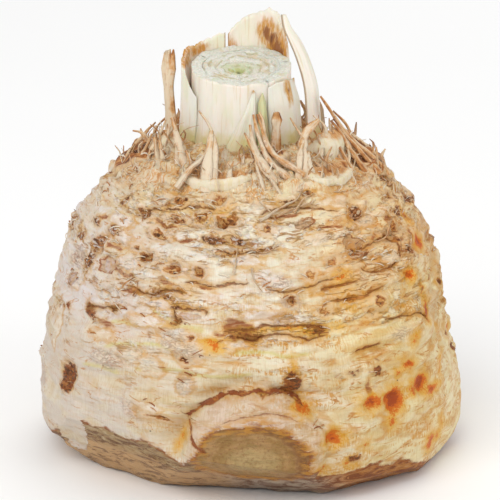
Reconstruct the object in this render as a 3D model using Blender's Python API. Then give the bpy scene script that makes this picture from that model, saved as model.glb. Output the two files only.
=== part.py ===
"""A celeriac: the swollen root, trimmed at its foot, with the cut stubs of its leaf stalks on the crown.

Sizes are in millimetres and become metres when a mesh is made. +Z is up and the root stands on Z = 0.
An azimuth runs round the upright axis in degrees: 0 is the front (-Y), 90 the right (+X).
A run is the distance along the skin from the middle of the crown, down the side to the foot.
"""

import math
import random

import bpy
import numpy as np
from mathutils import Vector, noise

MM = 0.001

# The side of the root before it was trimmed: (radius, height), from the foot's middle to the crown's.
SIDE = (
    (0, -5), (34, -5), (51, -3), (57.6, 3.5), (60, 17), (58.6, 31), (56.3, 45),
    (52.9, 57.5), (47.6, 68.5), (41.2, 77.5), (33.5, 84.2), (25, 88.4), (14, 90), (0, 90),
)
SIDE_STEPS = 24
SKIN_ROWS = 132
SKIN_COLUMNS = 240
SKIN_TRIANGLES = 6800
SKIN_SPHERE = 58.0

# The middle of the whole object in plan. It is moved to X = Y = 0 when a mesh is made.
MIDDLE = (0.345, -1.58, 0.0)

# Leaf scars ring the root and fade towards its foot.
RING_PITCH = 4.7
RING_RISE = 1.25
RING_START_RUN = (25.0, 33.0)
RING_FADE_RUN = (72.0, 106.0)
RING_LEAST = 0.22
RING_WANDER = 3.4
RING_MEAN = 0.45
RING_ROUNDING = 1.5

# A ring's height changes along it: the middle value, how far it changes and the most it can be. The
# noise is shifted by RING_SHIFT from one ring to the next.
RING_PATCHES = (0.62, 0.75, 1.2)
RING_SHIFT = 37.0

# Noise: (width of its features, offset that picks its pattern).
SWELL_NOISE = (34, 3.1)
KNOT_NOISE = (11, 8.7)
WANDER_NOISE = (26, 5.3)
PATCH_NOISE = (17, 1.9)
SWELL_RISE = 2.0
KNOT_RISE = 0.8

# Radii between which the relief of the skin fades in, round the middle of the crown.
CROWN_FLAT = (2, 10)

# Broad swellings and hollows: (azimuth, height, spread along the skin, rise).
SWELLINGS = (
    (88, 3, 14, 1.7), (82, 44, 20, -1.8), (-28, 25, 8, 1.6), (-19, 21, 5, -2.6), (-88, 8, 13, 0.8),
    (24, 24, 9, 1.2), (-60, 52, 16, -1.0), (48, 66, 9, 1.2), (150, 22, 18, 2.2), (-140, 30, 16, -2.2),
    (-90, 67, 16, 2.0), (86, 62, 14, 1.2), (-92, 36, 11, 0.8), (-115, 14, 12, 1.8), (175, 58, 15, 1.6),
    (120, 66, 13, -1.4), (-165, 10, 12, 1.5),
)

# The side root that was cut off at the front: a boss with a crease over it. The boss fades out between
# these cosines of the turn from its azimuth, and the crease between these heights.
BOSS_AZIMUTH = 1.0
BOSS_HEIGHT = 17.5
BOSS_REACH = (19.5, 17.5)
BOSS_RISE = 6.0
BOSS_ROUNDING = 0.55
BOSS_FRONT = (0.3, 0.6)
CREASE_DEPTH = 1.4
CREASE_AT = 1.03
CREASE_WIDTH = 0.13
CREASE_HEIGHTS = (16, 26)

# Flat cuts that trimmed the foot: (azimuth, downward tilt, radius and height of a point on the cut).
CUTS = (
    (1, 13, 62.6, 19), (-9, 53, 49.6, 5.2), (-41, 36, 52.8, 9.5), (-76, 50, 54.7, 4.6),
    (33, 57, 54.4, 3.2), (62, 54, 61.8, 3.6), (100, 46, 59.2, 5.5), (143, 30, 57.6, 9.0),
    (185, 50, 53.8, 5.0), (-140, 38, 55.0, 8.0), (-108, 55, 55.8, 3.8), (160, 58, 52.0, 2.4),
)

# Scars of thin roots: (azimuth, height, radius, depth; a negative depth is a knob).
SCARS = (
    (-43, 76.1, 2.8, 0.9), (-58, 66, 3.2, 1.1), (-50, 61.5, 3.8, 0.8), (-35, 65.7, 2.2, 0.9),
    (-24, 64.3, 2.2, 0.9), (-15.5, 63.3, 2.0, 0.8), (-12.5, 80.9, 2.3, 0.9), (-10, 75.7, 2.0, 0.8),
    (-4, 71.8, 3.2, 1.0), (18, 63.3, 3.0, 0.8), (11.8, 57.2, 2.2, 0.8), (42, 76.1, 3.4, 1.1),
    (36.5, 69.4, 3.8, 0.9), (57.7, 64.1, 3.2, -1.1), (53, 57.8, 2.4, 0.8), (38, 54, 2.6, -0.9),
    (0, 50.8, 4.6, 1.6), (10, 50.6, 3.4, 1.3), (18, 49.8, 3.8, 1.2), (-8, 51.4, 3.0, 1.1),
    (11.2, 34.6, 2.8, -1.6), (35.8, 36, 2.8, -0.8), (40.2, 26.2, 3.2, 0.6), (32.8, 27.3, 2.6, 0.6),
    (52.2, 28, 3.0, 0.7), (70.5, 34.8, 3.2, 1.2), (-57.2, 29.7, 4.6, 1.2), (-17.5, 34.6, 2.6, -0.7),
    (-86, 27, 2.6, -1.2), (22, 20, 2.8, 0.7),
)
# The raised lip of a scar: share of its depth, place and width in scar radii. Then how steep its wall is.
SCAR_LIP = 0.35
SCAR_LIP_AT = 1.25
SCAR_LIP_WIDTH = 0.35
SCAR_STEEPNESS = 1.6
SCAR_SEED = 11
SCARS_BEHIND = 34
SCAR_BEHIND_AZIMUTHS = (84, 268)
SCAR_BEHIND_HEIGHTS = (16, 80)
SCAR_BEHIND_RADII = (2.0, 4.4)
SCAR_BEHIND_DEPTH = 0.35

# The bundle of leaf stalks stands on the crown, a little left of the root's axis. It was cut across.
BUNDLE_X = -2.5
STALK_FOOT = 84.0
STALK_CUT = 110.3
STALK_CUT_SLOPE = 0.19
CLEARANCE = 0.36
HEART_RADIUS = 10.6
HEART_RINGS = ((1.0, 0.0), (0.88, 0.15), (0.76, -0.75), (0.66, 0.1), (0.52, -0.7), (0.4, 0.1), (0.2, -1.3))
HEART_SIDES = 26

# Stalks that wrap round the bundle: name, azimuths, radii, heights of the top from the first azimuth
# to the last, how far the inner rim of the top lies below the outer one, share of the thickness
# left at the sides, turn and narrowing from foot to top. None is the height of the cut.
INNER_RING = (10.96, 14.2)
OUTER_RING = (14.6, 16.5)
FLARE = 2.3
FLARE_POWER = 2.5
SHEATH_ROWS = 6
SHEATH_COLUMNS = 5
SHEATH_COLUMN_DEGREES = 10
SHEATH_ROUNDING = 3
SHEATHS = (
    ("sheath_front_left", (-118, 32), INNER_RING, None, 0.0, 0.8, 0, 0.0),
    ("sheath_right", (35.5, 101), INNER_RING, None, 0.0, 0.8, 0, 0.0),
    ("sheath_back", (104.5, 238.5), INNER_RING, None, 0.0, 0.8, 0, 0.0),
    ("outer_sheath_right", (37, 106), OUTER_RING, (104.6, 106.8, 107.8, 107.2, 106.4, 104.8, 103.6),
     0.6, 0.5, 0, 0.0),
    ("front_tongue", (-21, 15), OUTER_RING, (104.2, 106.4, 105.4), 0.4, 0.45, 19, 0.88),
    ("side_bud", (19, 32), OUTER_RING, (103.2, 105.6, 102.8), 0.3, 0.4, 0, 0.25),
    ("stalk_back", (119, 194), (14.6, 17.0), (110.2, 116.8, 122.4, 123.6, 123.0, 121.6, 119.4, 116.2),
     1.6, 0.6, 0, 0.0),
    ("stalk_back_left", (198, 267), (14.6, 16.9), (117.0, 115.8, 114.8, 114.2, 113.8, 113.2, 111.4),
     3.2, 0.6, 0, 0.0),
)

# Single stalks outside the bundle: name, path, widths along it, thickness, facing azimuth, gutter depth.
STALKS = (
    ("stalk_right", ((18.4, -0.4, 82), (18.1, 0, 90), (17.9, 1, 98), (17.5, 2.2, 104.5), (15.5, 4.2, 111),
                     (13.1, 6.2, 116), (10.7, 8.2, 119.6), (9.3, 9.4, 123)),
     (6.2, 5.6, 5.2, 5.4, 5.2, 4.8, 3.0, 1.4), 1.8, 44, 0.7),
    ("dry_stalk_left", ((-21.4, -2.6, 82), (-21.9, -1.2, 90), (-22.4, 0, 97), (-22.9, 1, 104),
                        (-22.9, 2, 109), (-22.6, 2.6, 113.2)),
     (8.4, 5.6, 4.2, 3.9, 4.4, 3.4), 1.3, -30, 1.0),
    ("dry_bud_front", ((6.5, -17.9, 82), (6.9, -17.6, 89), (7.1, -17.2, 95), (7.3, -16.6, 100.4)),
     (3.4, 4.0, 3.8, 2.6), 1.3, 28, 0.3),
)

STALK_STEPS = 3
STALK_COLUMNS = 5
STALK_EDGE = 0.45

# Torn feet of old leaves on the shoulder: name, azimuths, runs, rises from the inner edge to the outer
# one, seed of the torn edge, and strands (thickness, then points from the foot in the root to the tip).
LEAF_BASES = (
    ("leaf_base_front_left", (-37, 1), (30.5, 37), (1.2, 1.5, 2.4, 1.7), 21,
     ((2.6, (-13.2, -32, 81), (-10.6, -23.2, 94.3), (-13.7, -22.4, 102.2)),
      (1.5, (-17.5, -27, 83), (-17, -25.5, 89), (-18, -25.5, 93.5)),
      (1.5, (-5.5, -30.5, 83), (-5.5, -29.5, 88), (-3.4, -29.8, 91)))),
    ("leaf_base_front", (-9, 29), (21.5, 28), (1.5, 2.6, 2.2, 1.3), 22,
     ((2.0, (2.2, -26.5, 85), (0.4, -24, 93.5), (1.1, -22, 101.8)),
      (2.2, (12.0, -23.5, 85), (6.6, -24.4, 92.0), (3.3, -23.4, 96.5), (4.2, -22, 102.4)),
      (1.9, (8.6, -25.5, 85), (4.2, -25.4, 91.4), (1.8, -23.6, 97.5)),
      (1.8, (5.0, -26.5, 85), (0.8, -25.4, 92), (-0.4, -24.2, 97.4)),
      (1.5, (-1.5, -26, 85), (-2.2, -24.6, 90.5), (-1.6, -23.8, 94.5)))),
    ("leaf_base_front_right", (24, 62), (30.5, 37.5), (1.2, 1.6, 2.5, 1.7), 23,
     ((2.3, (17.8, -29.8, 81), (15.6, -20.6, 92.4), (11.3, -17.4, 98.8)),
      (2.0, (21.0, -27.4, 81), (17.0, -20.8, 91.8), (18.9, -17.6, 98.4)),
      (1.6, (25.5, -20.5, 82), (26.0, -19, 88), (24.6, -17, 92.5)))),
    ("leaf_base_right", (46, 84), (21.5, 29), (3.6, 5.8, 5.0, 2.2), 24,
     ((1.7, (21, -10.5, 86), (21.6, -10.5, 94), (20.6, -9.6, 99)),
      (1.6, (24.5, -6.5, 85), (25, -6, 92), (23.6, -5, 97)))),
    ("husk_right", (70, 119), (30.5, 43), (1.7, 2.2, 2.0, 1.6), 25,
     ((2.4, (35.5, -3.4, 79), (27, -1.6, 91.6), (20, -0.6, 101.6)),
      (2.0, (34.5, -1, 79), (30.4, -0.5, 87.4), (26, 0.5, 94)),
      (1.9, (37, 6, 76), (35, 5, 83), (31.8, 4, 88)),
      (1.8, (33, -9, 79), (29.6, -8, 88), (26.6, -4.6, 94.4)),
      (1.8, (30.5, 11, 82), (28, 11, 90), (23.8, 9.6, 96)))),
    ("leaf_base_left", (-79, -52), (22, 28), (3.6, 5.4, 4.8, 2.2), 26,
     ((1.6, (-19.8, -14.4, 86), (-20.4, -15, 92), (-18.8, -14.4, 95)),
      (1.6, (-24.4, -10.5, 85), (-26, -10.2, 91), (-26.4, -8.6, 94)))),
    ("husk_left", (-120, -70), (29.5, 43), (1.7, 2.4, 2.1, 1.6), 27,
     ((2.0, (-31.6, -2.4, 82), (-28.4, -1, 89.6), (-26, 0.4, 94.6)),
      (1.9, (-32.5, -4.5, 82), (-31, -3.6, 88), (-28.8, -2.6, 93.2)),
      (1.9, (-35, 2, 79), (-33.6, 2, 85.5), (-30.8, 2.6, 90)),
      (1.8, (-36, -7, 77), (-35.2, -6.4, 82.6), (-33, -6, 86.6)),
      (1.8, (-32, 9, 81), (-30.4, 8.8, 88), (-27, 8, 92.6)),
      (1.8, (-29, 13, 82), (-27, 13, 89), (-24, 12.4, 93)))),
    ("leaf_base_back_right", (123, 158), (22, 29), (1.8, 3.4, 3.0, 1.5), 28,
     ((2.2, (20, 14.5, 85), (20.6, 15, 93), (18.4, 14.8, 99.4)),
      (1.8, (15.4, 20, 85), (16.4, 20.8, 91), (14.6, 20.8, 95.6)),
      (1.6, (10.6, 22, 85), (10.4, 23, 91), (11.8, 23.4, 94.4)))),
    ("leaf_base_back", (140, 188), (31.5, 39.5), (1.2, 1.8, 2.6, 1.6), 29,
     ((1.9, (13.6, 29, 83), (12.8, 28, 89), (9.6, 27, 93.6)),
      (1.7, (1.5, 33, 82), (1.5, 32.4, 87), (4, 32, 91)))),
    ("leaf_base_back_left", (196, 241), (24.5, 32), (1.4, 3.0, 2.8, 1.5), 30,
     ((2.3, (-11.5, 23.6, 84), (-12.4, 23.6, 92), (-9.4, 23.4, 99.8)),
      (1.8, (-17.5, 20.5, 84), (-18.6, 20.5, 90), (-17.4, 21.4, 95)),
      (1.7, (-21.5, 16.5, 84), (-23.2, 16.6, 89), (-24, 15.4, 93.4)))),
)
STRAND_SIDES = 4
STRAND_STEPS = 5
STRAND_TAPER = 0.45
TORN = 0.2
LEAF_BASE_ROWS = 5
LEAF_BASE_COLUMNS = 9
CRESCENT = 0.38
SIDE_FALL = 0.2
SUNK = 1.5

# Colour and roughness of each material in Blender's own view.
SKIN_FINISH = ((0.62, 0.46, 0.28), 0.72)
HEART_FINISH = ((0.70, 0.72, 0.45), 0.5)
FLESH_FINISH = ((0.80, 0.76, 0.62), 0.5)
FIBRE_FINISH = ((0.66, 0.52, 0.34), 0.7)
HUSK_FINISH = ((0.50, 0.31, 0.14), 0.8)


def direction(azimuth):
    """Unit vectors in plan at these azimuths."""
    angle = np.radians(azimuth)
    return np.stack([np.sin(angle), -np.cos(angle), np.zeros_like(angle)], -1)


def smooth_line(points, steps):
    """A Catmull-Rom curve through the points."""
    points = np.array(points, float)
    ends = np.vstack([2 * points[0] - points[1], points, 2 * points[-1] - points[-2]])
    t = np.linspace(0, 1, steps, endpoint=False)[:, None]
    spans = [
        0.5 * (2 * b + (c - a) * t + (2 * a - 5 * b + 4 * c - d) * t**2 + (3 * b - a - 3 * c + d) * t**3)
        for a, b, c, d in zip(ends, ends[1:], ends[2:], ends[3:])
    ]
    return np.vstack([*spans, points[-1:]])


SIDE_LINE = smooth_line(SIDE, SIDE_STEPS)[::-1]
SIDE_RUNS = np.concatenate([[0], np.cumsum(np.linalg.norm(np.diff(SIDE_LINE, axis=0), axis=1))])


def side_at(run):
    """Radius, height and outward normal (radial, up) of the untrimmed side at these runs."""
    radius, height = (np.interp(run, SIDE_RUNS, SIDE_LINE[:, axis]) for axis in (0, 1))
    slope = np.gradient(SIDE_LINE, SIDE_RUNS, axis=0)
    out, up = (np.interp(run, SIDE_RUNS, slope[:, axis]) for axis in (0, 1))
    length = np.hypot(out, up)
    return radius, height, -up / length, out / length


def run_at(height):
    """The run where the side is this high. The side only rises above the foot's corner."""
    rising = SIDE_LINE[:, 1] >= SIDE[3][1]
    return np.interp(-np.asarray(height, float), -SIDE_LINE[rising, 1], SIDE_RUNS[rising])


def roughness(points, grain, offset):
    """Smooth noise from -1 to 1 at these points, with features about one grain wide."""
    return np.array([noise.noise(Vector(p)) for p in points / grain + offset])


def step(value, low, high):
    """0 below low, 1 above high and smooth between."""
    t = np.clip((value - low) / (high - low), 0, 1)
    return t * t * (3 - 2 * t)


def scars_of_skin():
    """The scars seen at the front, and seeded ones for the rest of the root."""
    draw = random.Random(SCAR_SEED)
    behind = []
    while len(behind) < SCARS_BEHIND:
        azimuth = draw.uniform(*SCAR_BEHIND_AZIMUTHS)
        height = draw.uniform(*SCAR_BEHIND_HEIGHTS)
        radius = draw.uniform(*SCAR_BEHIND_RADII)
        sunk = SCAR_BEHIND_DEPTH * radius * draw.choice((1, 1, 1, -1))
        behind.append((azimuth, height, radius, sunk))
    return (*SCARS, *behind)


def relief(azimuth, run):
    """How far the skin stands out from the plain turned side, in mm."""
    radius, height, _, _ = side_at(run)
    around = direction(azimuth)
    sphere = around * SKIN_SPHERE + np.stack([0 * run, 0 * run, run], -1)
    base = around * radius[:, None] + np.stack([0 * run, 0 * run, height], -1)

    rise = SWELL_RISE * roughness(sphere, *SWELL_NOISE) + KNOT_RISE * roughness(sphere, *KNOT_NOISE)
    for swell_azimuth, swell_height, spread, swell_rise in SWELLINGS:
        centre = skin_base(swell_azimuth, run_at(swell_height))
        rise += swell_rise * np.exp(-(((base - centre) / spread) ** 2).sum(1))

    phase = (run + RING_WANDER * roughness(sphere, *WANDER_NOISE)) / RING_PITCH
    ring = np.floor(phase)
    middle, spread, most = RING_PATCHES
    patchy = middle + spread * roughness(sphere + RING_SHIFT * ring[:, None], *PATCH_NOISE)
    fade = step(run, *RING_START_RUN)
    fade *= RING_LEAST + (1 - RING_LEAST) * (1 - step(run, *RING_FADE_RUN))
    wave = np.sin(np.pi * (phase - ring)) ** RING_ROUNDING
    rise += RING_RISE * fade * np.clip(patchy, 0, most) * (wave - RING_MEAN)

    for scar_azimuth, scar_height, size, depth in scars_of_skin():
        centre = skin_base(scar_azimuth, run_at(scar_height))
        away = np.linalg.norm(base - centre, axis=1) / size
        lip = SCAR_LIP * abs(depth) * np.exp(-(((away - SCAR_LIP_AT) / SCAR_LIP_WIDTH) ** 2))
        rise += lip - depth * np.exp(-SCAR_STEEPNESS * away**4)

    turned = (azimuth - BOSS_AZIMUTH + 180) % 360 - 180
    across = np.sin(np.radians(np.clip(turned, -90, 90))) * radius / BOSS_REACH[0]
    boss = np.hypot(across, (height - BOSS_HEIGHT) / BOSS_REACH[1])
    front = step(np.cos(np.radians(turned)), *BOSS_FRONT)
    dome = BOSS_RISE * np.clip(1 - boss**2, 0, 1) ** BOSS_ROUNDING
    crease = np.exp(-(((boss - CREASE_AT) / CREASE_WIDTH) ** 2)) * step(height, *CREASE_HEIGHTS)
    return rise + front * (dome - CREASE_DEPTH * crease)


def skin_base(azimuth, run):
    """The point of the plain turned side at one azimuth and run."""
    radius, height, _, _ = side_at(np.array([float(run)]))
    return direction(np.array([float(azimuth)]))[0] * radius[0] + (0, 0, height[0])


def skin(azimuth, run, lift=0.0):
    """Points of the root's skin, lifted off it by lift. The cuts at the foot are already made."""
    azimuth, run = np.broadcast_arrays(np.asarray(azimuth, float), np.asarray(run, float))
    shape = azimuth.shape
    azimuth, run = azimuth.ravel(), run.ravel()
    radius, height, out, up = side_at(run)
    around = direction(azimuth)
    normal = around * out[:, None] + np.stack([0 * up, 0 * up, up], -1)
    points = around * radius[:, None] + np.stack([0 * run, 0 * run, height], -1)
    rise = relief(azimuth, run) * step(radius, *CROWN_FLAT) + np.broadcast_to(lift, shape).ravel()
    points = points + normal * rise[:, None]
    for cut_azimuth, tilt, cut_radius, cut_height in CUTS:
        face = direction(np.array([float(cut_azimuth)]))[0] * math.cos(math.radians(tilt))
        face = face - (0, 0, math.sin(math.radians(tilt)))
        on_cut = direction(np.array([float(cut_azimuth)]))[0] * cut_radius + (0, 0, cut_height)
        beyond = np.clip((points - on_cut) @ face, 0, None)
        points = points - beyond[:, None] * face
    points[:, 2] = np.maximum(points[:, 2], 0)
    return points.reshape(*shape, 3)


def new_object(name, points, faces, material):
    """A mesh object from points in millimetres."""
    mesh = bpy.data.meshes.new(name)
    mesh.from_pydata(((np.array(points) - MIDDLE) * MM).tolist(), [], faces)
    mesh.materials.append(material)
    mesh.shade_smooth()
    made = bpy.data.objects.new(name, mesh)
    bpy.context.scene.collection.objects.link(made)
    return made


def new_material(name, colour, roughness_value):
    material = bpy.data.materials.new(name)
    material.use_nodes = True
    shader = material.node_tree.nodes["Principled BSDF"]
    shader.inputs["Base Color"].default_value = (*colour, 1)
    shader.inputs["Roughness"].default_value = roughness_value
    shader.inputs["Metallic"].default_value = 0.0
    return material


def make_root(material):
    """The swollen root as one closed skin, finely gridded and then thinned to flat triangles."""
    runs = np.linspace(0, SIDE_RUNS[-1], SKIN_ROWS + 1)[1:-1]
    azimuths = np.arange(SKIN_COLUMNS) * 360 / SKIN_COLUMNS
    rings = skin(azimuths[None, :], runs[:, None])
    crown = skin(0.0, 0.0).reshape(1, 3)
    foot = np.array([[0.0, 0.0, 0.0]])
    points = np.vstack([crown, rings.reshape(-1, 3), foot])
    last = len(points) - 1
    faces = []
    for column in range(SKIN_COLUMNS):
        beside = (column + 1) % SKIN_COLUMNS
        faces.append((0, 1 + column, 1 + beside))
        for row in range(len(runs) - 1):
            upper, lower = 1 + row * SKIN_COLUMNS, 1 + (row + 1) * SKIN_COLUMNS
            faces.append((upper + column, lower + column, lower + beside, upper + beside))
        bottom = 1 + (len(runs) - 1) * SKIN_COLUMNS
        faces.append((bottom + beside, bottom + column, last))
    root = new_object("root", points, faces, material)
    thin = root.modifiers.new("thin", "DECIMATE")
    thin.ratio = SKIN_TRIANGLES / (2 * SKIN_COLUMNS * len(runs))
    thin.use_collapse_triangulate = True
    return root


def make_cutter(root):
    """The root grown by the clearance. It trims the foot of everything that stands on the root."""
    cutter = bpy.data.objects.new("root_cutter", root.data)
    bpy.context.scene.collection.objects.link(cutter)
    cutter.hide_render = True
    cutter.display_type = "WIRE"
    thin = cutter.modifiers.new("thin", "DECIMATE")
    thin.ratio = root.modifiers["thin"].ratio
    thin.use_collapse_triangulate = True
    grow = cutter.modifiers.new("clearance", "DISPLACE")
    grow.strength = CLEARANCE * MM
    grow.mid_level = 0.0
    return cutter


def seat_on(piece, cutter):
    trim = piece.modifiers.new("seat", "BOOLEAN")
    trim.operation = "DIFFERENCE"
    trim.solver = "EXACT"
    trim.object = cutter


def shell(name, outer, inner, material):
    """A closed slab between two grids of points, [row][column], outer seen with columns to the right."""
    rows, columns = len(outer), len(outer[0])
    points = np.vstack([np.reshape(outer, (-1, 3)), np.reshape(inner, (-1, 3))])
    back = rows * columns
    faces = []
    for row in range(rows - 1):
        for column in range(columns - 1):
            a = row * columns + column
            b = a + 1
            c = a + columns + 1
            d = a + columns
            faces.append((a, b, c, d))
            faces.append((back + d, back + c, back + b, back + a))
    edge = list(range(columns))
    edge += [row * columns + columns - 1 for row in range(1, rows)]
    edge += [(rows - 1) * columns + column for column in range(columns - 2, -1, -1)]
    edge += [row * columns for row in range(rows - 2, 0, -1)]
    for a, b in zip(edge, edge[1:] + edge[:1]):
        faces.append((b, a, back + a, back + b))
    return new_object(name, points, faces, material)


def strand(name, path, thickness, material):
    """A tapering stem along a smooth path, closed at both ends."""
    line = smooth_line(path, max(1, STRAND_STEPS // (len(path) - 1)))
    points, count = [], len(line)
    for index, centre in enumerate(line):
        ahead = line[min(index + 1, count - 1)] - line[max(index - 1, 0)]
        ahead /= np.linalg.norm(ahead)
        across = np.cross(ahead, (0, 1, 0))
        across /= np.linalg.norm(across)
        over = np.cross(ahead, across)
        size = thickness * (1 - STRAND_TAPER * index / (count - 1)) / 2
        for corner in range(STRAND_SIDES):
            turn = 2 * math.pi * corner / STRAND_SIDES
            points.append(centre + size * (math.cos(turn) * across + math.sin(turn) * over))
    faces = [tuple(range(STRAND_SIDES))[::-1]]
    for index in range(count - 1):
        low, high = index * STRAND_SIDES, (index + 1) * STRAND_SIDES
        for corner in range(STRAND_SIDES):
            beside = (corner + 1) % STRAND_SIDES
            faces.append((low + corner, low + beside, high + beside, high + corner))
    faces.append(tuple(range((count - 1) * STRAND_SIDES, count * STRAND_SIDES)))
    return new_object(name, points, faces, material)


def fuse(base, repeats):
    """Joins the repeats to the base in one Boolean union, and removes them."""
    loose = bpy.data.collections.new(base.name + "_repeats")
    bpy.context.scene.collection.children.link(loose)
    for piece in repeats:
        bpy.context.scene.collection.objects.unlink(piece)
        loose.objects.link(piece)
    union = base.modifiers.new("join", "BOOLEAN")
    union.operation = "UNION"
    union.solver = "EXACT"
    union.operand_type = "COLLECTION"
    union.collection = loose
    bpy.context.view_layer.update()
    graph = bpy.context.evaluated_depsgraph_get()
    joined = bpy.data.meshes.new_from_object(base.evaluated_get(graph))
    base.modifiers.clear()
    base.data = joined
    for piece in repeats:
        bpy.data.objects.remove(piece)
    bpy.data.collections.remove(loose)


def cut_height(points):
    """Height of the cut across the bundle over these points."""
    return STALK_CUT + STALK_CUT_SLOPE * points[..., 1]


def make_heart(material):
    """The young stalks in the middle of the bundle, packed in rings that the cut shows."""
    centre = np.array([BUNDLE_X, 0.0, 0.0])
    azimuths = np.arange(HEART_SIDES) * 360 / HEART_SIDES
    around = direction(azimuths)
    loops = [centre + around * HEART_RADIUS + (0, 0, STALK_FOOT)]
    for share, lift in HEART_RINGS:
        ring = centre + around * HEART_RADIUS * share
        ring[:, 2] = cut_height(ring) + lift
        loops.append(ring)
    points = np.vstack(loops)
    faces = [tuple(range(HEART_SIDES))[::-1]]
    for loop in range(len(loops) - 1):
        low, high = loop * HEART_SIDES, (loop + 1) * HEART_SIDES
        for side in range(HEART_SIDES):
            beside = (side + 1) % HEART_SIDES
            faces.append((low + side, low + beside, high + beside, high + side))
    faces.append(tuple(range(len(points) - HEART_SIDES, len(points))))
    return new_object("heart_stalks", points, faces, material)


def make_sheath(name, azimuths, radii, tops, bevel, edge, turn, narrowing, material):
    """A leaf stalk that wraps round the bundle between two azimuths, cut or torn off at its top."""
    columns = SHEATH_COLUMNS + round((azimuths[1] - azimuths[0]) / SHEATH_COLUMN_DEGREES)
    share = np.linspace(-1, 1, columns)
    body = edge + (1 - edge) * np.sqrt(1 - np.abs(share) ** SHEATH_ROUNDING)
    middle, half = sum(azimuths) / 2, (azimuths[1] - azimuths[0]) / 2
    centre = np.array([BUNDLE_X, 0.0, 0.0])
    inner_flare = FLARE if radii[0] > INNER_RING[1] else 0.0
    outer, inner = [], []
    for level in np.linspace(0, 1, SHEATH_ROWS):
        turned = direction(middle + turn * level + share * half * (1 - narrowing * level))
        spread = (1 - level) ** FLARE_POWER
        far = radii[0] + (radii[1] - radii[0]) * body + FLARE * spread
        near = np.full(columns, radii[0] + inner_flare * spread)
        for grid, reach, drop in ((outer, far, 0.0), (inner, near, bevel)):
            points = centre + turned * reach[:, None]
            top = cut_height(points)
            if tops is not None:
                top = np.interp(share, np.linspace(-1, 1, len(tops)), tops)
            points[:, 2] = STALK_FOOT + level * (top - drop - STALK_FOOT)
            grid.append(points)
    return shell(name, outer, inner, material)


def make_stalk(name, path, widths, thickness, azimuth, hollow, material):
    """An outer leaf stalk with a gutter down its inner side. Its width changes along its path."""
    line = smooth_line(path, STALK_STEPS)
    share = np.linspace(-1, 1, STALK_COLUMNS)
    level = np.linspace(0, 1, len(line))
    width = np.interp(level, np.linspace(0, 1, len(widths)), widths)
    out = direction(np.array([float(azimuth)]))[0]
    along = direction(np.array([azimuth + 90.0]))[0]
    outer, inner = [], []
    for centre, wide in zip(line, width):
        bow = (1 - share**2)[:, None]
        spine = centre + share[:, None] * wide / 2 * along
        body = thickness * (STALK_EDGE + (1 - STALK_EDGE) * bow)
        outer.append(spine + out * (bow * hollow + body / 2))
        inner.append(spine + out * (bow * hollow - body / 2))
    return shell(name, outer, inner, material)


def make_leaf_base(name, azimuths, runs, rises, seed, strands, material):
    """The torn foot of an old leaf, a crescent on the shoulder, with the fibres that stand out of it."""
    share = np.linspace(-1, 1, LEAF_BASE_COLUMNS)
    azimuth = sum(azimuths) / 2 + share * (azimuths[1] - azimuths[0]) / 2
    end_runs = runs[0] + (runs[1] - runs[0]) * (1 - CRESCENT * share**2)
    draw = random.Random(seed)
    top, under = [], []
    for level in np.linspace(0, 1, LEAF_BASE_ROWS):
        run = runs[0] + level * (end_runs - runs[0])
        rise = np.interp(level, np.linspace(0, 1, len(rises)), rises) * (1 - SIDE_FALL * share**2)
        torn = np.array([draw.uniform(-TORN, TORN) for _ in share])
        top.append(skin(azimuth, run, rise + torn))
        under.append(skin(azimuth, run, -SUNK))
    base = shell(name, top[::-1], under[::-1], material)
    fuse(base, [strand(name + "_strand", points, thickness, material) for thickness, *points in strands])
    return base


def build():
    for leftover in list(bpy.data.objects):
        bpy.data.objects.remove(leftover)
    root = make_root(new_material("root_skin", *SKIN_FINISH))
    cutter = make_cutter(root)

    standing = [make_heart(new_material("heart_flesh", *HEART_FINISH))]
    for name, *shape in SHEATHS:
        standing.append(make_sheath(name, *shape, new_material(name + "_flesh", *FLESH_FINISH)))
    for name, *shape in STALKS:
        standing.append(make_stalk(name, *shape, new_material(name + "_fibre", *FIBRE_FINISH)))
    for name, *shape in LEAF_BASES:
        standing.append(make_leaf_base(name, *shape, new_material(name + "_husk", *HUSK_FINISH)))
    for piece in standing:
        seat_on(piece, cutter)


build()
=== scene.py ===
"""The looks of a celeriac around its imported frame: skin, scars, cut faces, leaf stalks and husks.

Shapes are worked out in millimetres with +Z up, and become metres when a mesh is made.
An azimuth runs round the upright axis in degrees: 0 is the front (-Y), 90 the right (+X).
A run is the distance along the skin from the middle of the crown, down the side to the foot.
"""

import math
import random

import bpy
import numpy as np
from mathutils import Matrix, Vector, noise


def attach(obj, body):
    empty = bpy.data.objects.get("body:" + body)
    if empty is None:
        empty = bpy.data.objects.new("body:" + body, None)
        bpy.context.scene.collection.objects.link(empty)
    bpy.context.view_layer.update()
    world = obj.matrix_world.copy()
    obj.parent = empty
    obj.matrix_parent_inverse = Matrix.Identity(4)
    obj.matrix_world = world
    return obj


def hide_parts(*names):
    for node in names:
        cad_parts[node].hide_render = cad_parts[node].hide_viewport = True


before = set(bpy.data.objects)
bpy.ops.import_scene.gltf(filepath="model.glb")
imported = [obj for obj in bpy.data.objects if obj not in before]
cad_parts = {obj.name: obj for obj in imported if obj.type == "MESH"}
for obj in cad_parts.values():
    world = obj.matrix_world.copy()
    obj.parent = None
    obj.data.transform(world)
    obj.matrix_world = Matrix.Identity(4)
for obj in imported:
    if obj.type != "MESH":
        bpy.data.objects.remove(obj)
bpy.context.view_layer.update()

bl_info = {
    "name": "Celeriac",
    "version": (1, 0, 0),
    "blender": (4, 5, 0),
    "location": "View3D > Sidebar > Celeriac",
    "description": "Builds the skin, stalks and husks of a celeriac around its solids",
    "category": "Object",
}

MM = 0.001

# The middle of the whole object in plan. It is moved to X = Y = 0 when a mesh is made.
MIDDLE = (0.345, -1.58, 0.0)

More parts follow.
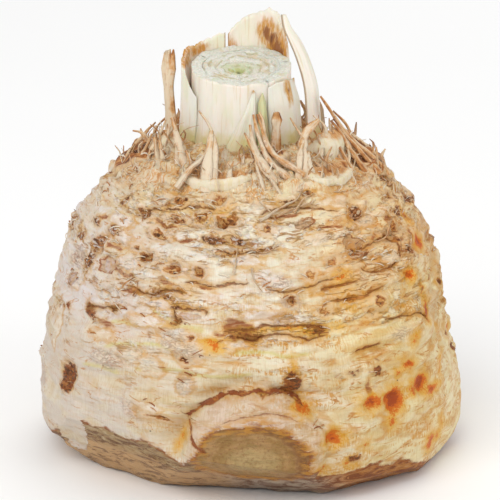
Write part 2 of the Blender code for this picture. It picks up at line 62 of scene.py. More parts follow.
# The side of the root before it was trimmed: (radius, height), from the foot's middle to the crown's.
SIDE = (
    (0, -5), (34, -5), (51, -3), (57.6, 3.5), (60, 17), (58.6, 31), (56.3, 45),
    (52.9, 57.5), (47.6, 68.5), (41.2, 77.5), (33.5, 84.2), (25, 88.4), (14, 90), (0, 90),
)
SIDE_STEPS = 24
SKIN_SPHERE = 58.0

# Rows of the skin's mesh: (run where they start, number of rows). The last row is the foot's middle.
SKIN_ROWS = ((1.5, 8), (17, 212), (124, 16))
SKIN_COLUMNS = 412
FRONT_DENSITY = 0.3

# Leaf scars ring the root and fade towards its foot.
RING_PITCH = 4.7
RING_RISE = 1.25
RING_START_RUN = (25.0, 33.0)
RING_FADE_RUN = (72.0, 106.0)
RING_LEAST = 0.22
RING_WANDER = 3.4
RING_MEAN = 0.45
RING_ROUNDING = 1.5
# A ring's height changes along it: the middle value, how far it changes and the most it can be. The
# noise is shifted by RING_SHIFT from one ring to the next.
RING_PATCHES = (0.62, 0.75, 1.2)
RING_SHIFT = 37.0
# Noise: (width of its features, offset that picks its pattern).
SWELL_NOISE = (34, 3.1)
KNOT_NOISE = (11, 8.7)
WANDER_NOISE = (26, 5.3)
PATCH_NOISE = (17, 1.9)
SWELL_RISE = 2.0
KNOT_RISE = 0.8
# Stretches of the skin's own space that lay noise round the root.
LONG = (0.17, 0.17, 1)
LEVEL = (0.25, 0.25, 1)
FLATTER = (0.5, 0.5, 1)
CURLED = (0.55, 0.55, 1)
TALL = (1, 1, 0.4)
TALLER = (1, 1, 0.6)
# Layers of noise: (share, width of its features, offset). BENDS bend the marks' edges sideways and up.
BENDS = (((1, 3.6, 4.4), (0.5, 1.4, 7.4)), ((1, 3.6, 9.1), (0.5, 1.4, 12.1)))
WRINKLE_LAYERS = ((1, 1.6, 6.2), (0.6, 0.8, 1.2))
FOLD_NOISE = (3.4, 2.2)
WAVE_NOISE = (3.6, 3.9)
CURL_NOISE = (1.5, 8.1)
FLAKE_NOISE = (7.0, 6.4)
LUMP_NOISE = (4.5, 7.4)
TISSUE_NOISES = ((2.4, 8.2), (1.2, 5.2))
GRIT_NOISE = (1.15, 3.3)
BLADE_NOISE = (1.5, 7.7)
BLADE_STRETCH = (0.12, 0.12, 1)
CHIP_NOISE = (3.2, 5.5)
# Heights between which the waves, the flakes, the crown's torn tissue and the tufts fade in, and the
# reach from the bundle's middle where tufts begin.
WAVE_HEIGHTS = (16, 34)
FLAKE_HEIGHTS = (46, 78)
TISSUE_HEIGHTS = (80, 86)
TUFT_HEIGHTS = (79, 84)
TUFT_REACH = (19.5, 20)
# How high the marks of the blade and the chips stand on a cut, and the least slope across a cut's edge.
BLADE_RISE = 0.45
CHIP_RISE = 0.4
LEAST_SLOPE = 0.12
# Radii between which the relief of the skin fades in, round the middle of the crown.
CROWN_FLAT = (2, 10)

# Broad swellings and hollows: (azimuth, height, spread along the skin, rise).
SWELLINGS = (
    (88, 3, 14, 1.7), (82, 44, 20, -1.8), (-28, 25, 8, 1.6), (-19, 21, 5, -2.6), (-88, 8, 13, 0.8),
    (24, 24, 9, 1.2), (-60, 52, 16, -1), (48, 66, 9, 1.2), (150, 22, 18, 2.2), (-140, 30, 16, -2.2),
    (-90, 67, 16, 2), (86, 62, 14, 1.2), (-92, 36, 11, 0.8), (-115, 14, 12, 1.8), (175, 58, 15, 1.6),
    (120, 66, 13, -1.4), (-165, 10, 12, 1.5),
)

# The side root that was cut off at the front: a boss with a crease over it.
BOSS_AZIMUTH = 1.0
BOSS_HEIGHT = 17.5
BOSS_REACH = (19.5, 17.5)
BOSS_RISE = 6.0
BOSS_ROUNDING = 0.55
BOSS_FRONT = (0.3, 0.6)
CREASE_DEPTH = 1.4
CREASE_AT = 1.03
CREASE_WIDTH = 0.13
CREASE_HEIGHTS = (16, 26)

# Flat cuts that trimmed the foot: (azimuth, downward tilt, radius and height of a point on the cut).
# The first is the cut through the side root.
CUTS = (
    (1, 13, 62.6, 19), (-9, 53, 49.6, 5.2), (-41, 36, 52.8, 9.5), (-76, 50, 54.7, 4.6),
    (33, 57, 54.4, 3.2), (62, 54, 61.8, 3.6), (100, 46, 59.2, 5.5), (143, 30, 57.6, 9),
    (185, 50, 53.8, 5), (-140, 38, 55, 8), (-108, 55, 55.8, 3.8), (160, 58, 52, 2.4),
)

# Round scars that the solid root has: (azimuth, height, radius, depth; a negative depth is a knob).
SCARS = (
    (-43, 76.1, 2.8, 0.9), (-58, 66, 3.2, 1.1), (-50, 61.5, 3.8, 0.8), (-35, 65.7, 2.2, 0.9),
    (-24, 64.3, 2.2, 0.9), (-15.5, 63.3, 2, 0.8), (-12.5, 80.9, 2.3, 0.9), (-10, 75.7, 2, 0.8),
    (-4, 71.8, 3.2, 1), (18, 63.3, 3, 0.8), (11.8, 57.2, 2.2, 0.8), (42, 76.1, 3.4, 1.1),
    (36.5, 69.4, 3.8, 0.9), (57.7, 64.1, 3.2, -1.1), (53, 57.8, 2.4, 0.8), (38, 54, 2.6, -0.9),
    (0, 50.8, 4.6, 1.6), (10, 50.6, 3.4, 1.3), (18, 49.8, 3.8, 1.2), (-8, 51.4, 3, 1.1),
    (11.2, 34.6, 2.8, -1.6), (35.8, 36, 2.8, -0.8), (40.2, 26.2, 3.2, 0.6), (32.8, 27.3, 2.6, 0.6),
    (52.2, 28, 3, 0.7), (70.5, 34.8, 3.2, 1.2), (-57.2, 29.7, 4.6, 1.2), (-17.5, 34.6, 2.6, -0.7),
    (-86, 27, 2.6, -1.2), (22, 20, 2.8, 0.7),
)
# The raised lip of a scar: share of its depth, place and width in scar radii. Then how steep its wall is.
SCAR_LIP = 0.35
SCAR_LIP_AT = 1.25
SCAR_LIP_WIDTH = 0.35
SCAR_STEEPNESS = 1.6
# Seeded scars for the rest of the root: seed, how many, azimuths, heights, radii, and depth in radii.
SCARS_BEHIND = (11, 34, (84, 268), (16, 80), (2.0, 4.4), 0.35)

# Marks on the skin at the front, by kind: (azimuth, height, half width, half height, and how far it
# leans in degrees).
MARKS = {
    "pits": (
        (-29, 80, 1.9, 1), (-13, 81, 1.7, 1.3), (-28, 76, 2.2, 0.7), (-18, 77, 1.5, 1.2),
        (-10, 76, 1.4, 1.3), (-6, 77, 1.2, 1.2), (-33, 72, 2.4, 1, -18), (-41, 68, 0.8, 0.4),
        (-35, 66, 2, 1.1), (-25, 64, 1.9, 1), (-16, 64, 1.3, 1), (6, 75, 1, 0.9),
        (57, 70, 1.3, 1.2), (49, 69, 1.3, 1), (12, 57, 1.2, 1.2), (31, 56, 1.5, 0.8), (39, 54, 1.5, 1.4),
        (-17.3, 41.6, 1, 0.6), (-16, 47.7, 0.7, 0.6), (69, 77, 1.4, 1), (-23.8, 25.1, 2.6, 0.5, -8),
        (54, 67, 2, 0.5), (22, 54, 0.9, 0.5), (71, 36, 1.4, 1.7), (-4.5, 33.6, 0.5, 0.4),
        (3.4, 33.6, 0.9, 1), (19, 63.4, 0.9, 0.7), (-20.5, 59, 0.8, 0.5), (27, 66, 0.9, 0.7),
        (36, 52, 0.5, 0.4),
    ),
    "scabs": (
        (-56, 77, 1.8, 1.3), (-43, 76, 2.6, 1.6), (-53, 70, 2.1, 1.3), (-59, 66, 3, 2.2, 20),
        (-73, 65, 2.4, 1.2), (-87, 66, 2.2, 1.4), (-61, 61, 2.4, 2.9, -20), (-12, 72, 3.2, 1.1),
        (-4, 72, 2.4, 1), (-6, 69, 2.6, 0.7, 10), (5, 70, 2.9, 0.6, 12), (-27, 57.6, 4.4, 1.1, 4),
        (-66, 46.5, 1.3, 0.9), (-52, 48.8, 3.8, 1.5, -22), (-42, 52, 2.3, 1), (43, 76, 2.2, 1.4),
        (37, 66, 2.6, 1), (57, 64, 1.5, 1.5), (-58.2, 28.9, 3.6, 4, -12), (-90, 27, 2, 1.6),
        (-0.8, 48.2, 4.2, 1.3), (19.7, 48.8, 1.7, 1.1), (11.4, 35.4, 2.6, 2.6), (79, 80, 2, 1.4),
        (34, 66.8, 1.2, 1.7), (28, 13, 1.5, 0.8), (35.5, 36, 1.6, 1.2), (28.5, 36.6, 1.3, 0.4),
        (-66, 70, 1.6, 1), (66, 73, 1.6, 1.2), (-21.3, 54.8, 1.5, 0.5), (-20.6, 51.6, 1.3, 0.9),
        (-34, 79, 1.5, 1), (24, 82, 2.2, 0.6, 14), (16, 80.5, 2.6, 0.5, 8),
    ),
    "stains": (
        (70, 71, 0.9, 1.8), (70, 64, 3, 1.9), (54, 58, 2.2, 1.4), (48, 35, 2, 1.4), (52, 41, 0.7, 0.6),
        (52, 28.5, 3.6, 2.3), (58, 25.6, 3.4, 1), (33, 27.3, 2.8, 1.8), (41, 27, 3.6, 3.6, 10),
        (22, 20, 2.2, 1.7), (57, 10.5, 1.8, 2.2, 8), (61, 11, 1, 0.7), (64, 14, 0.7, 0.8),
        (13.5, 29.2, 2, 1.5), (11.5, 37.4, 0.5, 1.5), (-9.8, 45.6, 1.3, 0.8, -14), (30.6, 55.8, 1, 0.7),
        (12, 50.2, 4.4, 0.3), (18.5, 48.6, 3.2, 0.45), (-18.4, 19.4, 0.3, 1.2, -24), (26, 12, 0.7, 0.4),
        (31, 16.5, 0.6, 0.5), (66, 30, 0.7, 1.4), (44, 33.5, 0.6, 0.5), (60, 53, 0.6, 1.2),
        (29, 62, 0.8, 0.6), (62, 47, 1.8, 2.6), (40, 21.5, 1.2, 0.8), (71, 37, 0.9, 2.4),
        (-16, 76.8, 0.7, 0.5), (-10, 77.6, 0.7, 0.5), (19, 11, 1.3, 0.8),
    ),
    "flats": (
        (-50.5, 61.5, 3.1, 2.2, -14), (35.6, 69.4, 3, 1.8, -10), (-16.8, 53, 2.7, 0.9),
        (20, 75.5, 2.6, 1.1), (-70, 54, 3, 1.8),
    ),
    "browns": (
        (-3.2, 50.6, 4.2, 1.9), (14.5, 49.6, 4.6, 0.4, -6), (-8, 49, 2, 0.5), (-43, 61, 5.5, 0.7, -6),
        (-38, 57.2, 4, 0.5, 5), (-25, 60.2, 3.2, 0.6, -4), (-14, 60.4, 2.4, 0.5),
        (44, 69.4, 2.2, 0.5, 12), (50, 68, 2.6, 0.5, -8), (26.5, 60, 4.2, 0.5, 6), (34, 57, 4.4, 0.45, 12),
        (29, 74, 4.4, 0.7, -4), (14, 77.5, 5.5, 0.5, 2), (-22, 71.6, 3.6, 0.5), (-33, 74.5, 4.6, 0.6, -5),
        (56, 72, 1.6, 2.2), (64, 66, 1.2, 2.4), (-44, 46.8, 2.6, 0.8, -10), (62, 47, 4.2, 0.8, 20),
        (33, 31, 1, 3), (-62, 72, 3.2, 0.7, 12), (-50, 66.5, 2.4, 0.6),
    ),
    "whites": (
        (-42, 64, 3.6, 1.7), (-30, 50, 4.6, 1.2), (-45, 44, 3, 1.2), (-27, 55, 3.6, 1),
        (-16, 44, 3.8, 3.2), (-36, 80, 4.2, 1.6), (-52, 73, 3.6, 1.6), (-48, 69, 3, 1.3),
        (-2, 67.4, 3.4, 1.4), (-9, 69.8, 3, 0.8), (6, 64, 4, 1.2), (22, 71, 3, 1.2),
        (30, 79.5, 3.6, 0.9, 12), (18, 81.5, 4.2, 0.7, 10), (38, 79, 2.6, 1.6), (44, 73.5, 2.6, 1.2),
        (-20, 48, 4, 1), (-5, 46, 3.6, 1), (-72, 40, 3, 6), (-66, 55, 3, 2.4),
        (48, 63.6, 3.4, 1.3), (3, 54, 4.2, 0.9), (19, 23, 1.6, 2.2), (-28, 38.6, 3.2, 2.2),
        (-17.3, 34.9, 1.7, 1.9), (-35, 40, 2.4, 1.6), (-27, 27, 3, 2),
    ),
}
# Patches of small curled wrinkles.
WRINKLED = (
    (-19.5, 45.4, 5.6, 3.4, -32), (-17.3, 35.1, 2.4, 2.3), (-42, 38, 5, 2.6), (-33, 26, 4.6, 2.2, -10),
    (-70, 60, 5, 3), (-80, 22, 5, 4), (9, 62, 4, 1.6), (46, 44, 4, 1.8), (120, 30, 6, 4),
    (170, 52, 7, 3), (220, 34, 6, 3.4),
)
# Seeded marks for the rest of the root: (kind, how many, half widths, height as a share of width, heights).
MARK_SEED = 23
MARKS_BEHIND = (
    ("pits", 30, (0.8, 2), 0.7, (30, 84)), ("scabs", 26, (1.4, 3.4), 0.5, (26, 84)),
    ("stains", 12, (0.8, 2), 0.8, (10, 60)), ("flats", 7, (2, 3.6), 0.6, (20, 70)),
    ("browns", 26, (2, 5.4), 0.16, (34, 84)), ("whites", 26, (2.4, 4.6), 0.4, (30, 84)),
)
MARK_AZIMUTHS_BEHIND = (78, 272)
MARK_LEANS = (-16, 16)
MARK_FLATNESS = (0.6, 1.3)
# Where the nearest mark or line is farther than MARK_FAR, its distance is MARK_FAR. Where no line is
# near, its half width is NO_LINE.
MARK_FAR = 9.0
NO_LINE = -0.5
# Grooves in the skin at the front: (half width in mm, then points as (azimuth, height)).
GROOVES = (
    (0.75, (-17.2, 25.2), (-16.2, 26.9), (-14.1, 28.7), (-11.2, 30.4), (-6.3, 32.8), (-0.3, 33.9),
     (5.3, 33.7), (9.1, 33.7), (12.4, 31.6), (14.6, 28.4)),
    (0.6, (-16.8, 26.2), (-15.6, 24), (-15.2, 21.5), (-13.4, 19.3), (-10.6, 17.6), (-7.7, 13.4)),
    (0.45, (35.5, 67.2), (40.1, 67.7), (46.4, 68.5), (52.6, 67.4), (53.4, 65.4), (51.4, 62)),
    (0.5, (35.4, 63.6), (39, 61.6), (43.6, 61.2), (48.1, 61.8), (50.6, 62.6)),
    (0.5, (21, 59), (26.8, 59.9), (31.2, 59.9), (34.2, 60.4)),
    (0.55, (23.4, 56.2), (30.3, 56), (33.7, 56), (38.8, 57), (43, 57.9)),
    (0.4, (29, 42), (34.3, 42.8), (40, 43)),
    (0.35, (39, 49), (47.6, 48.3), (55.7, 47.2), (64, 43.6)),
    (0.5, (-8.4, 49.6), (-4.2, 50), (0, 49.9), (4.1, 51), (9.2, 50.9), (13.9, 50.7), (19.5, 49.9),
     (23, 48.6)),
    (0.4, (-5, 48.8), (-0.3, 46.9), (4, 48.6), (10.5, 48.3), (16.2, 46.6), (20.7, 47.2), (22.6, 48.4)),
    (0.45, (-22.8, 55), (-21.6, 53.4), (-20.8, 51.2), (-18.4, 50.6)),
    (0.4, (-20.8, 54.4), (-16.4, 54.9), (-13, 54.7), (-12.6, 52.4)),
    (0.35, (-21, 61.4), (-15.1, 61.4), (-10.2, 60.9), (-4.5, 61.8), (1, 62.4)),
    (0.35, (-38.5, 58.2), (-30.1, 57.3), (-23.3, 59), (-18, 57.8)),
    (0.35, (-58, 49), (-46.9, 50.9), (-39.5, 52.2)),
    (0.35, (2.6, 78.1), (14.3, 79.6), (22.6, 79.4), (36.5, 76.6)),
    (0.3, (-13, 70.3), (-5.9, 69.1), (0, 69.6), (6.3, 70.3)),
    (0.16, (-8.6, 24.9), (-4.3, 26.7), (1.2, 28), (6.1, 28), (10.3, 26.6), (13, 24.9)),
    (0.35, (-46, 77), (-34, 77.6), (-22, 79.2), (-12, 79)),
    (0.3, (28, 62), (20, 61), (12, 59.6), (4, 60.4)),
)
# A groove's width tapers over its last GROOVE_END mm. Each span of its curve has LINE_STEPS steps.
GROOVE_END = 3.0
LINE_STEPS = 5
LINE_NEAR = 2.4
# Common radius of the skin where lines run, for their lengths.
LINE_RADIUS = 50
# Seeded grooves for the rest of the root: seed, how many, azimuths, heights, lengths in degrees, how far
# they wander up and down, half widths, and shares of the length where their points are.
GROOVES_BEHIND = (31, 26, (76, 252), (40, 82), (9, 24), (-1.4, 1.4), (0.3, 0.65), (0, 0.35, 0.7, 1))
# How far from a line or mark its distance is worked out: degrees and mm past a line's ends, and degrees
# from a mark's middle.
LINE_MARGINS = (12, 4)
MARK_TURN = 80
# Greenish veins under the skin: (half width in mm, then points as (azimuth, height)).
VEINS = (
    (0.4, (-44, 47.4), (-38, 48.9), (-30.5, 49.3), (-21, 50.2), (-11, 49.6)),
    (0.3, (-45, 40.8), (-38, 42.8), (-30.9, 44), (-24, 44.6), (-19, 42.8)),
    (0.3, (-30.2, 53.4), (-24.2, 52), (-20.8, 49.3), (-18.3, 45.6)),
    (0.35, (-34, 36.8), (-27, 38.2), (-19, 38.6), (-8, 37.4), (2, 38.4)),
    (0.3, (-6, 43.8), (3, 44.2), (11, 42.6), (18, 43.4)),
    (0.3, (-52, 34), (-44, 35.6), (-36, 34.4)),
)

# The bundle of leaf stalks on the crown.
BUNDLE_X = -2.5
STALK_FOOT = 84.0
STALK_CUT = 110.3
STALK_CUT_SLOPE = 0.19
HEART_RADIUS = 10.93
INNER_RING = (10.96, 14.2)
OUTER_RING = (14.3, 16.4)
FLARE = 2.3
FLARE_POWER = 2.5
STALK_GRAIN = 0.6

# Stalks that wrap round the bundle: node, azimuths, radii, heights of the top from the first azimuth
# to the last, drop of the inner rim, share of the thickness left at the sides, turn and narrowing.
# None is the height of the cut. Last come the torn edge's depth and the brown stains, each with
# (share of the width from -1 to 1, height, half width, half height).
SHEATHS = (
    ("sheath_front_left", (-119.85, 33.75), INNER_RING, None, 0, 0.94, 0, 0, 0, ()),
    ("sheath_right", (33.85, 102.75), INNER_RING, None, 0, 0.94, 0, 0, 0, ()),
    ("sheath_back", (102.85, 240.05), INNER_RING, None, 0, 0.94, 0, 0, 0, ()),
    ("outer_sheath_right", (31, 107), OUTER_RING, (106.8, 107.8, 108.2, 107.6, 107.2, 106.4, 104.6),
     0.4, 0.12, 0, 0, 0.5, ((-0.3, 105, 0.9, 1.8), (0.55, 107.4, 2, 0.6))),
    ("front_tongue", (-28, 16), OUTER_RING, (103.6, 106.4, 105.6), 0.3, 0.2, 19, 0.84, 0.3,
     ((0, 106.8, 3, 0.7),)),
    ("side_bud", (16.6, 30.8), OUTER_RING, (102.6, 105.6, 102.2), 0.3, 0.4, 0, 0.3, 0.1, ()),
    ("stalk_back", (119, 194), (14.4, 17), (110.2, 116.8, 122.4, 123.6, 123, 121.6, 119.4, 116.2),
     0.4, 0.5, 0, 0, 0.9, ((-0.12, 117.6, 2.2, 2.4), (-0.3, 116, 2.2, 2.8), (-0.5, 113.6, 2, 3.4),
                             (-0.66, 110.6, 1.8, 4), (0.93, 112, 0.9, 1.8))),
    ("stalk_back_left", (198, 302), (14.3, 16.6),
     (117, 115.8, 114.8, 114.2, 113.4, 112.6, 110, 106.6, 103),
     0.5, 0.12, 0, 0, 0.8, ((-0.12, 113.6, 5.4, 1.2, -0.4), (0.28, 112.4, 4, 1.6, -0.4))),
)

# Single stalks outside the bundle: node, path, widths along it, thickness, facing azimuth, gutter
# depth, torn edge's depth, and how brown it is.
STALKS = (
    ("stalk_right", ((18.4, -0.4, 82), (18.1, 0, 90), (17.7, 1, 98), (17, 2.2, 104.5), (15, 4.2, 111),
                     (12.7, 6.2, 116), (10.5, 8.2, 119.6), (9.3, 9.4, 123)),
     (6.2, 5.6, 5.2, 5, 4.6, 4.2, 2.8, 1), 1.5, 44, 0.4, 0.3, 0.12),
    ("dry_stalk_left", ((-21.4, -2.6, 82), (-21.9, -1.2, 90), (-22.4, 0, 97), (-22.9, 1, 104),
                        (-22.9, 2, 109), (-22.6, 2.6, 113.2)),
     (8.4, 4.8, 3.2, 3, 4.6, 3.4), 1.2, -30, 0.8, 2.8, 0),
    ("dry_bud_front", ((6.5, -17.9, 82), (6.9, -17.6, 89), (7.1, -17.2, 93), (7.2, -16.9, 96.4),
                       (7.3, -16.7, 98.4), (7.3, -16.6, 100.6)),
     (3, 3.6, 3, 2.2, 3.4, 1.6), 1.3, 28, 0.3, 0.3, 0.3),
)
STALK_EDGE = 0.45
TORN_THINNING = 0.7

# Torn feet of old leaves: node, azimuths, runs, rises from the inner edge to the outer one, seed,
# how brown it is, and strands (thickness, then points from the foot in the root to the tip).
LEAF_BASES = (
    ("leaf_base_front_left", (-37, 1), (30.5, 37), (0.9, 1.1, 1.5, 1.2), 21, 0.25,
     ((2.6, (-12, -33, 82), (-11.5, -29, 89), (-11, -26, 93), (-10.5, -23, 97)),
      (1.8, (-10, -33, 82), (-9.5, -29, 89), (-9.5, -26, 93), (-10, -23.5, 96)),
      (0.9, (-10, -24.5, 94.5), (-10.5, -23, 97), (-12, -21.5, 99.5), (-14, -20.5, 102)),
      (1.8, (-20, -31, 83), (-16.5, -29.5, 87.5), (-13.5, -28, 90), (-11.5, -26.5, 92.5)),
      (1.4, (-6, -34, 83), (-5.5, -31.5, 87), (-5, -30, 88.5)))),
    ("leaf_base_front", (-9, 29), (21.5, 28), (1.5, 2.6, 2.2, 1.3), 22, 0.45,
     ((2.4, (15, -28.5, 86), (8, -27, 90), (5, -25, 93), (3.5, -22.5, 97), (2, -20.5, 101)),
      (2.1, (11, -30, 85), (5.5, -27.5, 89.5), (3.5, -25.5, 93), (2, -23, 97), (1, -21, 101)),
      (1.9, (7, -32, 84.5), (3.5, -28.5, 89.5), (1.5, -26, 92.5), (0.5, -24, 95.5), (0, -22.5, 98.5)),
      (1.5, (4.5, -31, 85), (1.5, -27.5, 91.5), (0, -25.5, 94), (-1.5, -23.5, 96.5)),
      (1.2, (4.5, -35.5, 81), (3, -33, 85.5), (2, -30.5, 88), (1.5, -28, 90)),
      (1.1, (9, -35.5, 81), (6, -33.5, 85.5), (4, -31, 87), (2.5, -30, 88)),
      (1, (4.5, -24.5, 92), (4, -23, 96), (3.5, -21.5, 99.5), (2.5, -20.5, 101.5)))),
    ("leaf_base_front_right", (24, 62), (30.5, 37.5), (0.9, 1.1, 1.5, 1.2), 23, 0.3,
     ((2.7, (15.5, -31, 82), (15, -26, 88), (14.5, -22.5, 91.5), (15, -20, 95), (17, -18, 97),
       (19, -16.5, 98.5)),
      (1, (15, -21, 94), (13, -19.5, 96.5), (11, -18, 99.5)),
      (1.7, (13, -32, 82), (13.5, -26.5, 89), (14, -23, 92), (15, -21, 94)),
      (1.4, (18.5, -30, 83), (16.5, -26.5, 88), (16, -23, 91)),
      (1.3, (23, -26, 83), (19.5, -24.5, 87), (17.5, -23.5, 88.5)))),
    ("leaf_base_right", (46, 84), (21.5, 29), (3.6, 5.8, 5, 2.2), 24, 0.2,
     ((1.7, (27, -16, 83), (24.5, -13, 89), (23, -11, 94)),
      (1.5, (22.5, -18, 85), (21, -15, 90.5), (20.5, -13, 95)),
      (1.3, (19, -18.5, 87), (20, -16, 91), (19, -15, 94)))),
    ("husk_right", (70, 119), (30.5, 43), (1, 1.5, 1.4, 1), 25, 0.6,
     ((2.5, (39, -3, 79.5), (34, -2.5, 85), (29, -2, 89), (25, -1.5, 94), (22, -1, 98.5),
       (19.8, -0.5, 101.6)),
      (2.1, (36.5, -7.5, 81), (31, -6.5, 87), (27, -6, 91.5), (23.5, -5, 96)),
      (1.8, (32.5, -12, 82.5), (28, -10.5, 88.5), (25.5, -9.5, 93), (22.5, -8.5, 96.5)),
      (1.6, (38.5, 3, 80), (34.5, 4, 85), (30, 5, 88.5), (25.5, 6, 91.5)),
      (1.4, (29, -16, 83), (25.5, -14, 89), (23.5, -13, 92.5)),
      (1.8, (30.5, 11, 82), (28, 11, 90), (23.8, 9.6, 95)))),
    ("leaf_base_left", (-79, -52), (22, 28), (3.6, 5.4, 4.8, 2.2), 26, 0.25,
     ((1.7, (-24, -20.5, 80), (-25.5, -16.5, 87.5), (-26.5, -14, 93)),
      (1.5, (-22.5, -22, 81), (-24, -18, 87.5), (-25, -15.5, 92.5)),
      (1.6, (-19.5, -24, 82), (-20, -20, 88.5), (-20.5, -17, 92.5)),
      (2.2, (-16.5, -26, 82), (-18.5, -21, 89.5), (-20, -17.5, 93.5), (-21.5, -14, 98.5)),
      (1.5, (-27.5, -11, 88.5), (-25.5, -10, 92), (-23.5, -8, 96.5)),
      (1.2, (-14.5, -27, 84), (-16.5, -23.5, 89), (-17.5, -21, 91)))),
    ("husk_left", (-120, -70), (29.5, 43), (0.8, 1.2, 1.1, 0.8), 27, 0.55,
     ((2, (-33, -8, 79), (-31, -7.5, 85), (-29, -6.5, 88.5), (-27.5, -5.5, 92)),
      (1.8, (-35, -3, 81), (-33, -2.5, 87), (-31, -2, 89.5), (-28.5, -1.5, 92)),
      (1.6, (-30.5, -13, 80), (-28.5, -11, 85.5), (-27.5, -10, 89.5)),
      (1.5, (-36.5, -4, 80), (-34.5, -3.5, 85.5), (-32.5, -3, 88.5)),
      (1.4, (-28.5, -3, 89), (-30.5, -2.5, 91.5), (-33, -2, 92)),
      (1.8, (-32, 9, 81), (-30.4, 8.8, 88), (-27, 8, 92)),
      (1.8, (-29, 13, 82), (-27, 13, 89), (-24, 12.4, 92.6)))),
    ("leaf_base_back_right", (123, 158), (22, 29), (1.8, 3.4, 3, 1.5), 28, 0.4,
     ((2.2, (20, 14.5, 85), (20.6, 15, 93), (18.4, 14.8, 99.4)),
      (1.8, (15.4, 20, 85), (16.4, 20.8, 91), (14.6, 20.8, 95.6)),
      (1.6, (10.6, 22, 85), (10.4, 23, 91), (11.8, 23.4, 94.4)))),
    ("leaf_base_back", (140, 188), (31.5, 39.5), (1.2, 1.8, 2.6, 1.6), 29, 0.35,
     ((1.9, (13.6, 29, 83), (12.8, 28, 89), (9.6, 27, 93.6)),
      (1.7, (1.5, 33, 82), (1.5, 32.4, 87), (4, 32, 91)))),
    ("leaf_base_back_left", (196, 241), (24.5, 32), (1.4, 3, 2.8, 1.5), 30, 0.4,
     ((2.3, (-11.5, 23.6, 84), (-12.4, 23.6, 92), (-9.4, 23.4, 99.8)),
      (1.8, (-17.5, 20.5, 84), (-18.6, 20.5, 90), (-17.4, 21.4, 95)),
      (1.7, (-21.5, 16.5, 84), (-23.2, 16.6, 89), (-24, 15.4, 93.4)))),
)
FIBRES = (
    (0.6, 0.2, (-5, 64.1), (-4.5, 67.2), (-4.1, 70.5)),
    (0.6, 0.15, (0.6, 65.5), (1.2, 62.8), (3.6, 59.9)),
    (0.6, 0.8, (-39.4, 57.5), (-38.1, 59.4), (-36.6, 60.6)),
    (0.5, 0.8, (-35.7, 56), (-34.4, 58), (-35, 59.6)),
    (0.9, 0.15, (3.6, 76.6), (8.8, 78.2), (14.3, 80), (19, 80.6), (23.6, 83)),
    (0.7, 0.25, (10, 77.4), (16, 78.8), (22.6, 79.7), (27, 79)),
    (0.7, 0.35, (17, 78.2), (22, 80.6), (28, 81.6)),
    (0.6, 0.3, (4, 80.4), (7.4, 78.4), (10.4, 75.6)),
    (0.6, 0.5, (52.4, 70.2), (49, 68.6), (44, 68.2), (39, 69.4), (36, 68.8)),
    (0.5, 0.3, (52.6, 70), (54.6, 67), (53, 64.4)),
    (0.5, 0.6, (-2, 71.2), (4, 69.2), (9.6, 70.6)),
)
# Seeded fibres for the rest of the root: seed, how many, then azimuths, heights, turns in degrees and
# climbs, and last how far they wander, thicknesses and how brown they are.
FIBRES_BEHIND = (41, 30, ((70, 290), (56, 86), (5, 14), (-3, 3)), (-0.8, 0.8), (0.4, 0.8), (0.1, 0.8))
FIBRE_STEPS = 6
FIBRE_LIFT = 0.35
FIBRE_WAVE = (1.2, 6.0, 2.0)
# Loose bits: how much smaller or larger than the common size they grow, and the darkest tone of a flake.
SHRED_SEED = 6
SHRED_SIZES = (0.5, 1.5)
DARKEST_FLAKE = 0.72
# Shapes of the loose bits: (steps, width, thickness and bend, as shares of the length).
FLAKE_SHAPE = (6, 0.13, 0.05, 0.1)
CRUMB_SHAPE = (3, 0.8, 0.3, 0.5)
TUFT_SHAPE = (7, 0.11, 0.06, 0.3)
# The heart: its points round, rows down its side, and rings over its cut.
HEART_SIDES = 128
HEART_WALL = 26
HEART_LAYERS = 44
HEART_HOLE = (-0.6, -3.0)
HEART_HOLE_DEPTH = 2.6
HEART_HOLE_SHARE = 0.1
HEART_PITCH = 2.1
SEAM_WIDTH = 0.32
SEAM_BEND = (3.6, 8.8)
SEAM_BREAKS = (4.2, 1.4)
# Layers of noise on the stalks and leaf bases: (share, width of its features, offset).
CUT_LAYERS = ((0.45, 2.6, 3.7), (0.3, 1.1, 6.6))
TEAR_LAYERS = ((1, 2.4, 2.2), (0.5, 0.8, 5.1))
RIB_LAYERS = ((1, 1.5, 0.4), (1.6, 5.0, 3.4))
STALK_TEAR = (0.9, 2.2)
STALK_RIBS = ((1, 0.9, 0.4), (1, 2.6, 3.4))
RAGGED_LAYERS = ((0.55, 3.0, 1.1), (0.4, 1.1, 2.9))
ROOT_LINE_NOISE = (2.0, 6.3)
SHAGGY_FIBRES = (1.3, 4.2)
SHAGGY_LAYERS = ((0.8, 1.8, 0.9), (0.3, 0.9, 6.9))
BROAD_LUMPS = (6.0, 5.9)
# Rows of a wrapping stalk, steps of an outer stalk's line, and where the layers close over a stem's top.
SHEATH_ROWS = 40
STALK_STEPS = 9
CAP_SHARES = (0.05, 0.35, 0.65, 0.95)
# How far the patterns of two pieces lie apart: wrapping stalks, outer stalks, leaf bases, the fibres of two
# wrapping stalks, and the two faces of one piece.
SHEATH_SHIFT = 17.0
STALK_SHIFT = 31.0
LEAF_BASE_SHIFT = 13.0
FIBRE_SHIFT = 9
FACE_SHIFT = 40
# Length of a stalk, how far its ribs are drawn out, and the crown's radius where the leaf bases sit.
STALK_LENGTH = 26
RIB_STRETCH = 0.07
SHOULDER_RADIUS = 35
